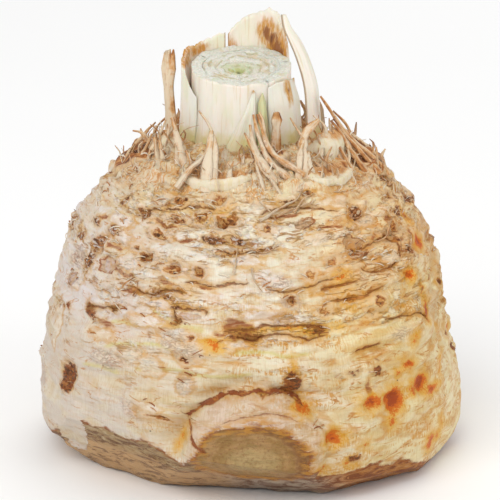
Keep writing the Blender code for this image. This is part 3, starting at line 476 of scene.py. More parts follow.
# Azimuths between which a stalk stands at the back, and how green the side bud is.
FACING_BACK = (100, 260)
BUD_GREENNESS = 0.75
STRAND_TAPER = 0.55
STRAND_FOOT = 0.4
STRAND_KNOTS = 0.45
STRAND_STEPS = 12
CRESCENT = 0.75
SIDE_FALL = 0.2
SUNK = 1.5
RIM_START = 0.82
LEAF_BASE_ROWS = 18
LEAF_BASE_COLUMNS = 64
# Fine strands on a leaf base: how many, heights, how far they lean and curl, and widths.
FINE_STRANDS = 11
STRAND_HEIGHTS = (2.0, 5.0)
STRAND_LEAN = 3.4
STRAND_CURL = 2.0
STRAND_WIDTHS = (0.35, 1.1)
STRAND_GIRTH = 5.0


def direction(azimuth):
    """Unit vectors in plan at these azimuths."""
    angle = np.radians(azimuth)
    return np.stack([np.sin(angle), -np.cos(angle), np.zeros_like(angle)], -1)


def toward(azimuth):
    """The unit vector in plan at one azimuth."""
    return direction(np.array([float(azimuth)]))[0]


def smooth_line(points, steps):
    """A Catmull-Rom curve through the points."""
    points = np.array(points, float)
    ends = np.vstack([2 * points[0] - points[1], points, 2 * points[-1] - points[-2]])
    t = np.linspace(0, 1, steps, endpoint=False)[:, None]
    spans = [
        0.5 * (2 * b + (c - a) * t + (2 * a - 5 * b + 4 * c - d) * t**2 + (3 * b - a - 3 * c + d) * t**3)
        for a, b, c, d in zip(ends, ends[1:], ends[2:], ends[3:])
    ]
    return np.vstack([*spans, points[-1:]])


SIDE_LINE = smooth_line(SIDE, SIDE_STEPS)[::-1]
SIDE_RUNS = np.concatenate([[0], np.cumsum(np.linalg.norm(np.diff(SIDE_LINE, axis=0), axis=1))])
SIDE_SLOPE = np.gradient(SIDE_LINE, SIDE_RUNS, axis=0)


def side_at(run):
    """Radius, height and outward normal (radial, up) of the untrimmed side at these runs."""
    radius, height = (np.interp(run, SIDE_RUNS, SIDE_LINE[:, axis]) for axis in (0, 1))
    out, up = (np.interp(run, SIDE_RUNS, SIDE_SLOPE[:, axis]) for axis in (0, 1))
    length = np.hypot(out, up)
    return radius, height, -up / length, out / length


def degrees_between(azimuths, azimuth):
    """Degrees from one azimuth to others, from -180 to 180."""
    return (azimuths - azimuth + 180) % 360 - 180


def run_at(height):
    """The run where the side is this high. The side only rises above the foot's corner."""
    rising = SIDE_LINE[:, 1] >= SIDE[3][1]
    return np.interp(-np.asarray(height, float), -SIDE_LINE[rising, 1], SIDE_RUNS[rising])


def roughness(points, grain, offset):
    """Smooth noise from -1 to 1 at these points, with features about one grain wide."""
    return np.array([noise.noise(Vector(p)) for p in points / grain + offset])


def layered(points, layers):
    """Layers of noise on top of each other: (share, width of its features, offset)."""
    return sum(share * roughness(points, width, offset) for share, width, offset in layers)


def on_sheet(across, along=0.0, offset=0.0):
    """Points of a flat sheet, for noise that belongs to a piece and not to its place."""
    return np.stack([across, 0 * across + along, 0 * across], -1) + offset


def band_faces(first, bands, columns):
    """Quads between closed rows of points, with the first point's index."""
    column = np.arange(columns)
    beside = (column + 1) % columns
    start = first + np.arange(bands)[:, None] * columns
    quads = [start + column, start + beside, start + columns + beside, start + columns + column]
    return np.stack(quads, -1).reshape(-1, 4)


def step(value, low, high):
    """0 below low, 1 above high and smooth between."""
    t = np.clip((value - low) / (high - low), 0, 1)
    return t * t * (3 - 2 * t)


def skin_base(azimuth, run):
    """The point of the plain turned side at one azimuth and run."""
    radius, height, _, _ = side_at(np.array([float(run)]))
    return toward(azimuth) * radius[0] + (0, 0, height[0])


def scars_of_skin():
    """The scars seen at the front, and seeded ones for the rest of the root."""
    seed, count, azimuths, heights, radii, depth = SCARS_BEHIND
    draw = random.Random(seed)
    behind = []
    for _ in range(count):
        azimuth, height, radius = (draw.uniform(*ends) for ends in (azimuths, heights, radii))
        behind.append((azimuth, height, radius, depth * radius * draw.choice((1, 1, 1, -1))))
    return (*SCARS, *behind)


class Skin:
    """Points on the root's skin and what is worked out at each of them."""

    def __init__(self, azimuth, run):
        azimuth, run = np.broadcast_arrays(np.asarray(azimuth, float), np.asarray(run, float))
        self.shape = azimuth.shape
        self.azimuth, self.run = azimuth.ravel(), run.ravel()
        self.radius, self.height, out, up = side_at(self.run)
        around = direction(self.azimuth)
        upright = np.array([0, 0, 1.0])
        self.normal = around * out[:, None] + upright * up[:, None]
        self.base = around * self.radius[:, None] + upright * self.height[:, None]
        self.sphere = around * SKIN_SPHERE + upright * self.run[:, None]
        self.phase = (self.run + RING_WANDER * roughness(self.sphere, *WANDER_NOISE)) / RING_PITCH
        self.ring_fade = step(self.run, *RING_START_RUN)
        self.ring_fade *= RING_LEAST + (1 - RING_LEAST) * (1 - step(self.run, *RING_FADE_RUN))
        turned = degrees_between(self.azimuth, BOSS_AZIMUTH)
        across = np.sin(np.radians(np.clip(turned, -90, 90))) * self.radius / BOSS_REACH[0]
        self.boss = np.hypot(across, (self.height - BOSS_HEIGHT) / BOSS_REACH[1])
        self.boss_front = step(np.cos(np.radians(turned)), *BOSS_FRONT)

    def relief(self, ring_share=1.0):
        """How far the skin stands out from the plain turned side."""
        rise = SWELL_RISE * roughness(self.sphere, *SWELL_NOISE)
        rise += KNOT_RISE * roughness(self.sphere, *KNOT_NOISE)
        for azimuth, height, spread, swell in SWELLINGS:
            centre = skin_base(azimuth, run_at(height))
            rise += swell * np.exp(-(((self.base - centre) / spread) ** 2).sum(1))

        ring = np.floor(self.phase)
        middle, change, most = RING_PATCHES
        patchy = middle + change * roughness(self.sphere + RING_SHIFT * ring[:, None], *PATCH_NOISE)
        wave = np.sin(np.pi * (self.phase - ring)) ** RING_ROUNDING
        rise += ring_share * RING_RISE * self.ring_fade * np.clip(patchy, 0, most) * (wave - RING_MEAN)

        for azimuth, height, size, depth in scars_of_skin():
            centre = skin_base(azimuth, run_at(height))
            away = np.linalg.norm(self.base - centre, axis=1) / size
            lip = SCAR_LIP * abs(depth) * np.exp(-(((away - SCAR_LIP_AT) / SCAR_LIP_WIDTH) ** 2))
            rise += lip - depth * np.exp(-SCAR_STEEPNESS * away**4)

        dome = BOSS_RISE * np.clip(1 - self.boss**2, 0, 1) ** BOSS_ROUNDING
        crease = np.exp(-(((self.boss - CREASE_AT) / CREASE_WIDTH) ** 2))
        crease *= step(self.height, *CREASE_HEIGHTS)
        return rise + self.boss_front * (dome - CREASE_DEPTH * crease)

    def points(self, rise):
        """The skin lifted by rise, with the cuts made, and how deep each point lay beyond each cut."""
        points = self.base + self.normal * (rise * step(self.radius, *CROWN_FLAT))[:, None]
        depths = []
        for azimuth, tilt, radius, height in CUTS:
            face = toward(azimuth) * math.cos(math.radians(tilt))
            face = face - (0, 0, math.sin(math.radians(tilt)))
            on_cut = toward(azimuth) * radius + (0, 0, height)
            depth = (points - on_cut) @ face
            depths.append(depth)
            points = points - np.clip(depth, 0, None)[:, None] * face
        depths.append(-points[:, 2])
        points[:, 2] = np.maximum(points[:, 2], 0)
        return points, depths


def skin(azimuth, run, lift=0.0):
    """Points of the solid root's skin, lifted off it by lift."""
    patch = Skin(azimuth, run)
    points, _ = patch.points(patch.relief() + np.broadcast_to(lift, patch.shape).ravel())
    return points.reshape(*patch.shape, 3)


def marks_of_skin():
    """All marks by kind: those seen at the front, and seeded ones for the rest of the root."""
    marks = {kind: list(rows) for kind, rows in MARKS.items()}
    draw = random.Random(MARK_SEED)
    for kind, count, widths, flatness, heights in MARKS_BEHIND:
        for _ in range(count):
            wide = draw.uniform(*widths)
            tall = wide * draw.uniform(*(flatness * share for share in MARK_FLATNESS))
            azimuth, height = draw.uniform(*MARK_AZIMUTHS_BEHIND), draw.uniform(*heights)
            marks[kind].append((azimuth, height, wide, tall, draw.uniform(*MARK_LEANS)))
    return marks


def grooves_of_skin():
    """All grooves: those seen at the front, and seeded ones for the rest of the root."""
    seed, count, azimuths, heights, lengths, wander, widths, shares = GROOVES_BEHIND
    draw = random.Random(seed)
    behind = []
    for _ in range(count):
        azimuth, height, long = (draw.uniform(*ends) for ends in (azimuths, heights, lengths))
        path = [(azimuth + long * share, height + draw.uniform(*wander)) for share in shares]
        behind.append((draw.uniform(*widths), *path))
    return (*GROOVES, *behind)


def mark_distance(patch, marks, bend):
    """Distance in mm from the edge of the nearest mark, negative inside it."""
    nearest = np.full(len(patch.run), MARK_FAR)
    for azimuth, height, wide, tall, *lean in marks:
        turned = degrees_between(patch.azimuth, azimuth)
        up = run_at(height) - patch.run
        near = (np.abs(up) < max(wide, tall) + MARK_FAR) & (np.abs(turned) < MARK_TURN)
        across = np.sin(np.radians(turned[near])) * patch.radius[near] + bend[0][near]
        up = up[near] + bend[1][near]
        turn = math.radians(lean[0]) if lean else 0.0
        along = across * math.cos(turn) + up * math.sin(turn)
        over = up * math.cos(turn) - across * math.sin(turn)
        share = np.hypot(along / wide, over / tall)
        nearest[near] = np.minimum(nearest[near], (share - 1) * math.sqrt(wide * tall))
    return nearest


def line_distance(patch, lines, bend):
    """Distance in mm to the nearest line, positive above it, and the line's half width there."""
    nearest = np.full(len(patch.run), MARK_FAR)
    width = np.full(len(patch.run), NO_LINE)
    for half_width, *path in lines:
        line = smooth_line([(azimuth, float(run_at(height))) for azimuth, height in path], LINE_STEPS)
        middle = (line[0, 0] + line[-1, 0]) / 2
        turned = degrees_between(patch.azimuth, middle)
        near = np.abs(turned) < np.ptp(line[:, 0]) / 2 + LINE_MARGINS[0]
        near &= patch.run > line[:, 1].min() - LINE_MARGINS[1]
        near &= patch.run < line[:, 1].max() + LINE_MARGINS[1]
        if not near.any():
            continue
        turned = turned[near]
        scale = np.radians(1) * patch.radius[near]
        lengths = np.hypot(np.diff(line[:, 0]) * np.radians(1) * LINE_RADIUS, np.diff(line[:, 1]))
        ends = np.concatenate([[0], np.cumsum(lengths)])
        for a, b, start, long in zip(line, line[1:], ends, lengths):
            to = np.stack([(turned - a[0] + middle) * scale + bend[0][near],
                           a[1] - patch.run[near] + bend[1][near]])
            way = np.stack([(b[0] - a[0]) * scale, np.full(len(scale), a[1] - b[1])])
            share = np.clip((to * way).sum(0) / (way * way).sum(0), 0, 1)
            away = to - way * share
            distance = np.hypot(*away)
            side = np.where(way[0] * to[1] - way[1] * to[0] < 0, -1, 1)
            at = start + share * long
            taper = step(np.minimum(at, ends[-1] - at), 0, GROOVE_END)
            closer = distance < np.abs(nearest[near])
            index = np.flatnonzero(near)[closer]
            nearest[index] = (side * distance)[closer]
            width[index] = np.where(distance < LINE_NEAR, half_width * taper, NO_LINE)[closer]
    return nearest, width


def new_piece(name, points, faces, fields, material):
    """A smooth mesh object from points in millimetres, with vector fields, that rides on the root."""
    mesh = bpy.data.meshes.new(name)
    mesh.from_pydata(((np.asarray(points) - MIDDLE) * MM).tolist(), [], faces)
    for field, values in fields.items():
        layer = mesh.attributes.new(field, "FLOAT_VECTOR", "POINT")
        layer.data.foreach_set("vector", np.asarray(values, np.float32).ravel())
    if material is not None:
        mesh.materials.append(material)
    mesh.shade_smooth()
    piece = bpy.data.objects.new(name, mesh)
    bpy.context.scene.collection.objects.link(piece)
    return piece


def stand_for(piece, node):
    """Dresses one node of the frame: the piece rides on the root and takes the node's place."""
    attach(piece, "root")
    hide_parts(node)


def grow(name, mesh, tree, inputs):
    """Runs a Geometry Nodes tree on a mesh and returns the outcome as a plain mesh object."""
    seed = bpy.data.objects.new(name + "_seed", mesh)
    bpy.context.scene.collection.objects.link(seed)
    nodes = seed.modifiers.new("grow", "NODES")
    nodes.node_group = tree
    sockets = {item.name: item.identifier for item in tree.interface.items_tree if item.in_out == "INPUT"}
    for label, value in inputs.items():
        nodes[sockets[label]] = value
    bpy.context.view_layer.update()
    graph = bpy.context.evaluated_depsgraph_get()
    grown = bpy.data.meshes.new_from_object(seed.evaluated_get(graph))
    seed.modifiers.clear()
    bpy.data.objects.remove(seed)
    grown.name = name
    grown.shade_smooth()
    piece = bpy.data.objects.new(name, grown)
    bpy.context.scene.collection.objects.link(piece)
    return piece


class Nodes:
    """A node tree that is put together one node at a time."""

    def __init__(self, tree):
        self.tree = tree

    def put(self, socket, value):
        if isinstance(value, bpy.types.NodeSocket):
            self.tree.links.new(value, socket)
        elif socket.type == "RGBA":
            socket.default_value = (*value, 1)
        else:
            socket.default_value = value

    def add(self, kind, inputs, output=0, **settings):
        """Adds a node, fills its inputs and returns one of its outputs."""
        node = self.tree.nodes.new(kind)
        for key, value in settings.items():
            setattr(node, key, value)
        for key, value in inputs.items():
            self.put(node.inputs[key], value)
        return node.outputs[output]


class Paint(Nodes):
    """A Principled material."""

    def __init__(self, name, **constants):
        self.material = bpy.data.materials.new(name)
        self.material.use_nodes = True
        super().__init__(self.material.node_tree)
        self.shader = self.tree.nodes["Principled BSDF"]
        for socket, value in constants.items():
            self.shader.inputs[socket.replace("_", " ")].default_value = value

    def field(self, name):
        return self.add("ShaderNodeAttribute", {}, "Vector", attribute_name=name)

    def parts(self, vector):
        split = self.add("ShaderNodeSeparateXYZ", {0: vector}).node
        return split.outputs[0], split.outputs[1], split.outputs[2]

    def place(self):
        """Object coordinates in millimetres."""
        point = self.add("ShaderNodeTexCoord", {}, "Object")
        return self.stretch(point, (1 / MM,) * 3)

    def stretch(self, vector, scale, shift=(0, 0, 0)):
        """The vector times scale, plus shift."""
        return self.add("ShaderNodeVectorMath", {0: vector, 1: scale, 2: shift}, operation="MULTIPLY_ADD")

    def noise(self, vector, size, detail=2.0, rough=0.5, bend=0.0):
        """Noise from 0 to 1 with features about size millimetres wide."""
        inputs = {"Vector": vector, "Scale": 1 / size, "Detail": detail, "Roughness": rough,
                  "Distortion": bend}
        return self.add("ShaderNodeTexNoise", inputs, "Fac")

    def cells(self, vector, size, output="Distance"):
        """Cells about size millimetres wide: the distance to the middle, or one colour for each."""
        return self.add("ShaderNodeTexVoronoi", {"Vector": vector, "Scale": 1 / size}, output)

    def sum(self, operation, a, b=0.5, c=0.5):
        return self.add("ShaderNodeMath", {0: a, 1: b, 2: c}, operation=operation)

    def scaled(self, a, b, c):
        """a times b, plus c."""
        return self.sum("MULTIPLY_ADD", a, b, c)

    def plus(self, a, b):
        return self.sum("ADD", a, b)

    def minus(self, a, b):
        return self.sum("SUBTRACT", a, b)

    def absolute(self, a):
        return self.sum("ABSOLUTE", a)

    def centred(self, noise):
        """Noise moved from 0 to 1 down to -0.5 to 0.5."""
        return self.minus(noise, 0.5)

    def swing(self, noise, reach):
        return self.times(self.centred(noise), reach)

    def moved(self, a, noise, reach):
        """A value that noise moves up and down, over reach in all."""
        return self.plus(a, self.swing(noise, reach))

    def ridge(self, noise):
        """Zero along the lines where the noise crosses its middle, and more beside them."""
        return self.absolute(self.centred(noise))

    def ramp(self, value, low, high, start=0.0, end=1.0):
        """start below low and end above high, with a smooth step between them."""
        inputs = {"Value": value, "From Min": low, "From Max": high, "To Min": start, "To Max": end}
        return self.add("ShaderNodeMapRange", inputs, interpolation_type="SMOOTHSTEP")

    def times(self, *values):
        product = values[0]
        for value in values[1:]:
            product = self.sum("MULTIPLY", product, value)
        return product

    def blend(self, share, a, b, mode="MIX"):
        node = self.tree.nodes.new("ShaderNodeMix")
        node.data_type = "RGBA"
        node.blend_type = mode
        for index, value in ((0, share), (6, a), (7, b)):
            self.put(node.inputs[index], value)
        return node.outputs[2]

    def over(self, base, colour, *shares):
        """A base with a colour over it, as far as all the shares let it show."""
        return self.blend(self.times(*shares), base, colour)

    def lay(self, colour, *shares):
        """Puts a colour over what is painted so far."""
        self.colour = self.over(self.colour, colour, *shares)

    def tint(self, colour, *shares):
        """Multiplies what is painted so far by a colour."""
        self.colour = self.blend(self.times(*shares), self.colour, colour, "MULTIPLY")

    def shades(self, value, stops):
        """A colour ramp: stops are (position, colour)."""
        node = self.tree.nodes.new("ShaderNodeValToRGB")
        ramp = node.color_ramp
        ramp.elements[0].position, ramp.elements[0].color = stops[0][0], (*stops[0][1], 1)
        ramp.elements[1].position, ramp.elements[1].color = stops[-1][0], (*stops[-1][1], 1)
        for position, colour in stops[1:-1]:
            ramp.elements.new(position).color = (*colour, 1)
        self.put(node.inputs[0], value)
        return node.outputs[0]

    def bump(self, height, distance):
        return self.add("ShaderNodeBump", {"Height": height, "Distance": distance * MM})

    def finish(self, rough, normal):
        """Joins what is painted to the shader."""
        self.put(self.shader.inputs["Base Color"], self.colour)
        self.put(self.shader.inputs["Roughness"], rough)
        self.put(self.shader.inputs["Normal"], normal)
        return self.material


def shade(text):
    """A linear colour from six hexadecimal digits of sRGB."""
    levels = [int(text[at:at + 2], 16) / 255 for at in (0, 2, 4)]
    return tuple(level / 12.92 if level <= 0.04045 else ((level + 0.055) / 1.055) ** 2.4 for level in levels)


# Skin, from pale to dark.
# The first colour is a painted highlight.
GLOW_HIGHLIGHT = shade("EAE0BE")
PALE = shade("EFE8D4")
PAPER = shade("EADFCC")
CREAM = shade("E0D4B4")
BEIGE = shade("DBC6A8")
BUTTER = shade("DCC48E")
FILM = shade("D6CABD")
SAND = shade("CBA76F")
GOLD = shade("CA9034")
OCHRE = shade("CC9440")
SIENNA = shade("B67432")
RING_BROWN = shade("965420")
RING_DARK = shade("7E3F1A")
# Veins, torn tissue and specks.
VEIN_GREEN = shade("CDBE62")
TISSUE_ORANGE = shade("CE8E48")
SPECK = shade("33231B")
# Scabs, stains, pits, scars, the brown band and wrinkles.
SCAB_PALE = shade("D9C9B2")
SCAB_BROWN = shade("92562C")
SCAB_DARK = shade("5C341C")
AMBER = shade("D8A01E")
RUST = shade("CC6602")
RUST_CORE = shade("9C3C02")
PIT_TAN = shade("D0A264")
SCAR_TAN = shade("BC9468")
LILAC = shade("C2AB9B")
WINDOW = shade("AC7C56")
BAND_RED = shade("8C421C")
PINK = shade("E0C8B4")
PINK_LINE = shade("B4826A")
# The boss and the cut face of the side root.
BOSS_PALE = shade("DCC4AC")
BOSS_TAN = shade("C9A988")
BOSS_BROWN = shade("BD9468")
STUMP_LIGHT = shade("C0AA74")
STUMP_TAN = shade("B48E5A")
STUMP_GREEN = shade("A07C44")
STUMP_BROWN = shade("80522A")
# The trimming cuts.
CUT_PALE = shade("C9B795")
CUT_GREY = shade("AA8C60")
CUT_LILAC = shade("AE9A86")
CUT_WARM = shade("AE743A")
CUT_BROWN = shade("70482A")
CUT_RUST = shade("763C18")
UNDERSIDE = shade("C8A070")
# Cut stalks and the heart.
FROST_WHITE = shade("E8E4DA")
FROST_GREY = shade("D0CDBE")
FROST_GREEN = shade("C4C898")
FROST_TAN = shade("D0BC94")
HEART_SEAM = shade("B3AC7C")
HEART_GREEN = shade("B0B35A")
HEART_HOLE_SHADE = shade("38301A")
# Sides of the stalks.
FLESH_LIME = shade("DDDCBC")
FLESH_VEIN = shade("D5BE98")
FLESH_GOLD = shade("C28C38")
FLESH_RUST = shade("8A4E16")
FLESH_DARK = shade("5E3519")
FOOT_LIME = shade("D2C583")
FOOT_BROWN = shade("B5854A")
BUD_GREEN = shade("B9BC72")
TORN_EDGE = shade("A8793F")
# Smooth rims of the leaf bases.
RIM_PALE = shade("E4DAC2")
RIM_YELLOW = shade("DDD0A6")
# Tints that are multiplied over what is painted. LOW_SHADE and CENTRE_SHADE are painted shade.
WARMTH = (1.0, 0.95, 0.745)
RUDDY = (1.0, 0.925, 0.94)
COOL = (0.99, 1.03, 1.2)
LOW_SHADE = (0.9, 0.9, 0.915)
CENTRE_SHADE = (0.955, 0.94, 0.955)
HUSK_WARMTH = (1.0, 0.88, 0.7)


def paint_skin():
    """The root's skin: cream flesh, brown flecks, papery shreds, ring lines, scars, stains and cut faces."""
    p = Paint("celeriac_skin", Subsurface_Weight=0.05, Subsurface_Scale=0.002, Specular_IOR_Level=0.3)
    point = p.field("skin")
    pit, scab, stain = p.parts(p.field("marks"))
    flat, brown, white = p.parts(p.field("patches"))
    ring_run, cut, stump = p.parts(p.field("forms"))
    groove, groove_width, boss = p.parts(p.field("grooves"))
    vein, vein_width, ring_strength = p.parts(p.field("veins"))
    place = p.place()
    x, _, z = p.parts(place)
    right = p.ramp(x, -12, 40)
    left = p.ramp(x, -6, -46)
    upper = p.ramp(z, 40, 64)
    level = p.stretch(point, LEVEL)
    flatter = p.stretch(point, FLATTER)
    upright = p.stretch(point, (1, 1, 0.11))

    broad = p.noise(p.stretch(point, (0.6, 0.6, 1)), 17, 2)
    clouds = p.noise(level, 3.4, 3, 0.55, 0.5)
    patchy = p.noise(flatter, 7, 3, 0.55, 0.4)
    fine = p.noise(flatter, 1.3, 4, 0.62)
    grain = p.noise(point, 0.5, 3, 0.7)
    torn = p.noise(flatter, 2.1, 4, 0.66, 1.0)
    streaks = p.noise(level, 1.25, 4, 0.64, 1.0)
    fibres = p.noise(upright, 0.42, 2, 0.6)
    dashes = p.noise(p.stretch(point, (1, 1, 0.3)), 0.5, 2, 0.6)
    jitter = p.centred(fine)
    speckle = p.centred(grain)
    ragged = p.plus(p.times(jitter, 3.6), p.times(speckle, 1.4))

    # Where the skin is rough and flaky: near scabs and pits, and more towards the crown.
    near = p.ramp(p.sum("MINIMUM", scab, p.plus(pit, 1.5)), 6, 0.5)
    zones = p.noise(flatter, 12, 4, 0.55, 0.5)
    busy = p.scaled(p.centred(zones), 6.0, p.scaled(upper, 0.42, 0.05))
    busy = p.times(p.ramp(p.scaled(near, 0.42, busy), 0.1, 0.75), p.ramp(z, 22, 50, 0.3, 1))

    # The ground: cream, with golden, burnt and pale patches, painted highlights, a grey film on the left and
    # painted shade along the right edge.
    p.colour = p.blend(p.ramp(broad, 0.4, 0.6), CREAM, BUTTER)
    p.lay(SAND, p.ramp(clouds, 0.5, 0.68, 0, 0.5))
    p.lay(PAPER, p.ramp(clouds, 0.5, 0.36, 0, 0.75))
    golden = p.ramp(p.noise(flatter, 5, 5, 0.62, 1.2), 0.5, 0.64)
    p.lay(GOLD, golden, p.ramp(right, 0, 1, 0.08, 0.85))
    burnt = p.ramp(p.noise(flatter, 4.2, 5, 0.68, 0.8), 0.58, 0.68)
    p.lay(SIENNA, burnt, p.ramp(right, 0, 1, 0.05, 0.7), p.ramp(z, 20, 46, 0.35, 1))
    # Pale yellow patches: painted highlights.
    highlight_cloud = p.noise(flatter, 5.5, 2, 0.5, 0.4)
    p.lay(GLOW_HIGHLIGHT, p.ramp(highlight_cloud, 0.46, 0.58), p.ramp(x, -44, 10, 0.3, 0.85))
    pale = p.ramp(p.noise(flatter, 10, 3, 0.5, 0.6), 0.52, 0.64)
    p.lay(PALE, pale, p.ramp(z, 62, 34, 0.1, 0.65))
    film = p.times(p.ramp(left, 0, 1, 0.2, 1), p.ramp(p.noise(flatter, 7, 3, 0.6), 0.4, 0.54, 0.5, 1))
    p.lay(FILM, film, p.ramp(z, 48, 62, 0.85, 0.5))
    # A tan band along the right edge, where the side turns away: painted shade.
    turned = p.times(p.ramp(x, 44, 54), p.ramp(z, 34, 50),
                     p.ramp(p.noise(flatter, 5, 4, 0.65), 0.42, 0.54, 0, 0.75))
    p.lay(BOSS_TAN, turned)

    # Fine upright fibres, and rows of short dashes low down.
    grooved = p.times(p.ramp(fibres, 0.42, 0.7), p.ramp(patchy, 0.4, 0.6, 0.26, 0.08), p.ramp(z, 80, 68))
    p.tint(SAND, grooved)
    comb = p.ridge(p.noise(level, 3.6, 2, 0.5, 0.5))
    comb = p.times(p.ramp(comb, 0.085, 0.03), p.ramp(dashes, 0.45, 0.56), p.ramp(z, 66, 50),
                   p.ramp(x, -40, 0, 0.2, 1))
    p.lay(OCHRE, comb, p.ramp(zones, 0.43, 0.53, 0.12, 0.85))

    # Painted shade in the hollows of the folds and waves: gold in the hollows and troughs, and a brown line
    # along the bottom of the troughs.
    fold, wave, wrinkled = p.parts(p.field("relief"))
    hollow = p.times(p.ramp(p.plus(fold, p.times(jitter, 0.12)), 0.13, 0.0), p.ramp(golden, 0, 1, 0.35, 1))
    p.lay(GOLD, hollow, p.ramp(z, 30, 52, 0.1, 0.6))
    trough = p.ramp(p.plus(wave, p.times(jitter, 0.1)), 0.1, 0.0)
    p.lay(GOLD, trough, p.ramp(patchy, 0.42, 0.58, 0, 0.7), p.ramp(x, -44, -8, 0.2, 1))
    seam = p.times(p.ramp(p.plus(wave, p.times(jitter, 0.06)), 0.03, 0.0), p.ramp(torn, 0.46, 0.54))
    p.lay(SIENNA, seam, p.ramp(z, 34, 54, 0, 0.7))

    # Green veins.
    vein_away = p.absolute(p.moved(vein, torn, 1.2))
    vein_line = p.times(p.ramp(p.minus(vein_width, vein_away), -0.8, 0.3), p.ramp(vein_width, 0, 0.3))
    p.lay(VEIN_GREEN, vein_line, 0.55)

    # Leaf rings: a thin broken line in each crease and an ochre halo round it.
    wobble = p.swing(p.noise(level, 2.6, 3, 0.6, 0.5), 8.0)
    crease = p.sum("PINGPONG", p.plus(ring_run, wobble), RING_PITCH / 2)
    wide = p.ramp(p.noise(flatter, 3.2, 3, 0.6), 0.48, 0.72, -0.35, 0.6)
    ring_line = p.times(p.ramp(p.minus(wide, crease), -0.12, 0.18), ring_strength,
                        p.ramp(zones, 0.42, 0.54, 0.2, 1), p.ramp(z, 26, 46, 0.25, 1))
    halo = p.times(p.ramp(crease, 1.6, 0.1), p.ramp(patchy, 0.44, 0.6), ring_strength)
    p.lay(OCHRE, halo, p.ramp(x, -44, -8, 0.1, 0.4))
    p.lay(SIENNA, ring_line, 0.7)

    # Fine cracks between the rings.
    contour = p.ridge(p.noise(level, 3.8, 3, 0.55, 0.9))
    shown = p.ramp(p.noise(flatter, 3.4, 2, 0.6), 0.47, 0.58)
    p.lay(OCHRE, p.ramp(contour, 0.03, 0.008), shown, p.ramp(right, 0, 1, 0.2, 0.6))
    p.lay(SIENNA, p.ramp(contour, 0.012, 0.004), shown, 0.7)

    # Papery shreds and brown streaks where the skin is rough.
    shred = p.times(p.ramp(torn, 0.54, 0.6), busy)
    p.lay(p.blend(p.ramp(fine, 0.42, 0.58), BEIGE, PAPER), shred, 0.85)
    p.lay(OCHRE, p.ramp(streaks, 0.48, 0.6), busy, 0.42)
    p.lay(SIENNA, p.ramp(streaks, 0.56, 0.64), busy, 0.52)
    p.lay(RING_DARK, p.ramp(streaks, 0.65, 0.73), busy, 0.4)

    # Torn tissue on the crown.
    crown = p.ramp(p.moved(z, patchy, 12.0), 79, 84)
    radial = p.noise(p.stretch(point, (1, 1, 0.6)), 2.2, 6, 0.72, 1.8)
    p.lay(TISSUE_ORANGE, p.ramp(radial, 0.48, 0.58), crown, 0.8)
    p.lay(RING_BROWN, p.ramp(radial, 0.62, 0.7), crown, 0.5)
    p.lay(BEIGE, p.ramp(radial, 0.47, 0.42), crown, 0.75)

    # Patches of curled wrinkles.
    curled = p.ramp(p.plus(wrinkled, p.times(ragged, 0.9)), 1.6, -1.8)
    p.lay(PINK, curled, 0.4)
    curl = p.ridge(p.noise(flatter, 1.3, 2, 0.5, 1.4))
    curl_line = p.times(p.ramp(curl, 0.035, 0.01), curled)
    p.lay(PINK_LINE, curl_line, 0.45)

    # White scars, the brown band and the sunken flat scars.
    white_edge = p.plus(white, ragged)
    white_rim = p.times(p.ramp(white_edge, 2.2, 1.0), p.ramp(patchy, 0.4, 0.56, 0.15, 0.6))
    p.lay(OCHRE, white_rim)
    p.lay(p.blend(p.ramp(torn, 0.4, 0.6), BEIGE, PAPER), p.ramp(white_edge, 0.9, -0.6, 0, 0.8))
    brown_edge = p.plus(brown, p.times(ragged, 0.8))
    p.lay(OCHRE, p.ramp(brown_edge, 1.5, -0.2, 0, 0.6))
    brown_tone = p.blend(p.ramp(streaks, 0.4, 0.54), WINDOW, BAND_RED)
    p.lay(brown_tone, p.ramp(brown_edge, 0.4, -0.5, 0, 0.85))

    flat_edge = p.plus(flat, p.times(ragged, 0.6))
    flat_tone = p.blend(p.times(p.ramp(p.noise(point, 1.8, 3, 0.6), 0.4, 0.62), p.ramp(x, 20, -6, 0.2, 1)),
                        SCAR_TAN, LILAC)
    p.lay(flat_tone, p.ramp(flat_edge, 0.4, -0.6, 0, 0.75))
    rim = p.times(p.ramp(p.absolute(flat_edge), 0.5, 0.1), p.ramp(patchy, 0.4, 0.55, 0.3, 0.9))
    p.lay(RING_BROWN, rim)

    # The boss of the cut side root.
    boss_rough = p.scaled(jitter, 2.2, boss)
    boss_tone = p.blend(p.ramp(fibres, 0.38, 0.66, 0, 0.5), BOSS_PALE, BOSS_TAN)
    boss_tone = p.over(boss_tone, BOSS_BROWN, p.ramp(torn, 0.47, 0.58), p.ramp(x, -8, 12, 0.5, 0.95))
    p.lay(boss_tone, p.ramp(boss_rough, -0.4, 1.6), p.ramp(clouds, 0.4, 0.6, 0.85, 0.5))

    # Rusty stains.
    stain_edge = p.moved(stain, p.noise(point, 1.9, 4, 0.66), 4.4)
    stain_edge = p.plus(stain_edge, p.times(speckle, 3.4))
    p.lay(AMBER, p.ramp(stain_edge, 4.0, -0.4, 0, 0.85))
    p.lay(RUST, p.ramp(stain_edge, 0.5, -0.7))
    p.lay(RUST_CORE, p.ramp(stain_edge, -1.0, -1.7, 0, 0.85))

    # Crumbly scabs, redder low down.
    scab_edge = p.plus(scab, ragged)
    p.lay(OCHRE, p.ramp(scab_edge, 1.8, 0.2, 0, 0.5))
    crumb = p.parts(p.cells(flatter, 0.6, "Color"))[0]
    scab_grain = p.scaled(crumb, 0.4, p.times(fine, 0.7))
    scab_tone = p.shades(scab_grain, (
        (0.36, SCAB_DARK), (0.48, SCAB_BROWN), (0.58, SIENNA), (0.7, SCAB_PALE)))
    low_scab = p.shades(scab_grain, (
        (0.4, SCAB_DARK), (0.54, BAND_RED), (0.68, RING_BROWN), (0.82, SIENNA)))
    scab_tone = p.over(scab_tone, low_scab, p.ramp(z, 58, 52))
    p.lay(scab_tone, p.ramp(scab_edge, 0.3, -0.3, 0, 0.92))

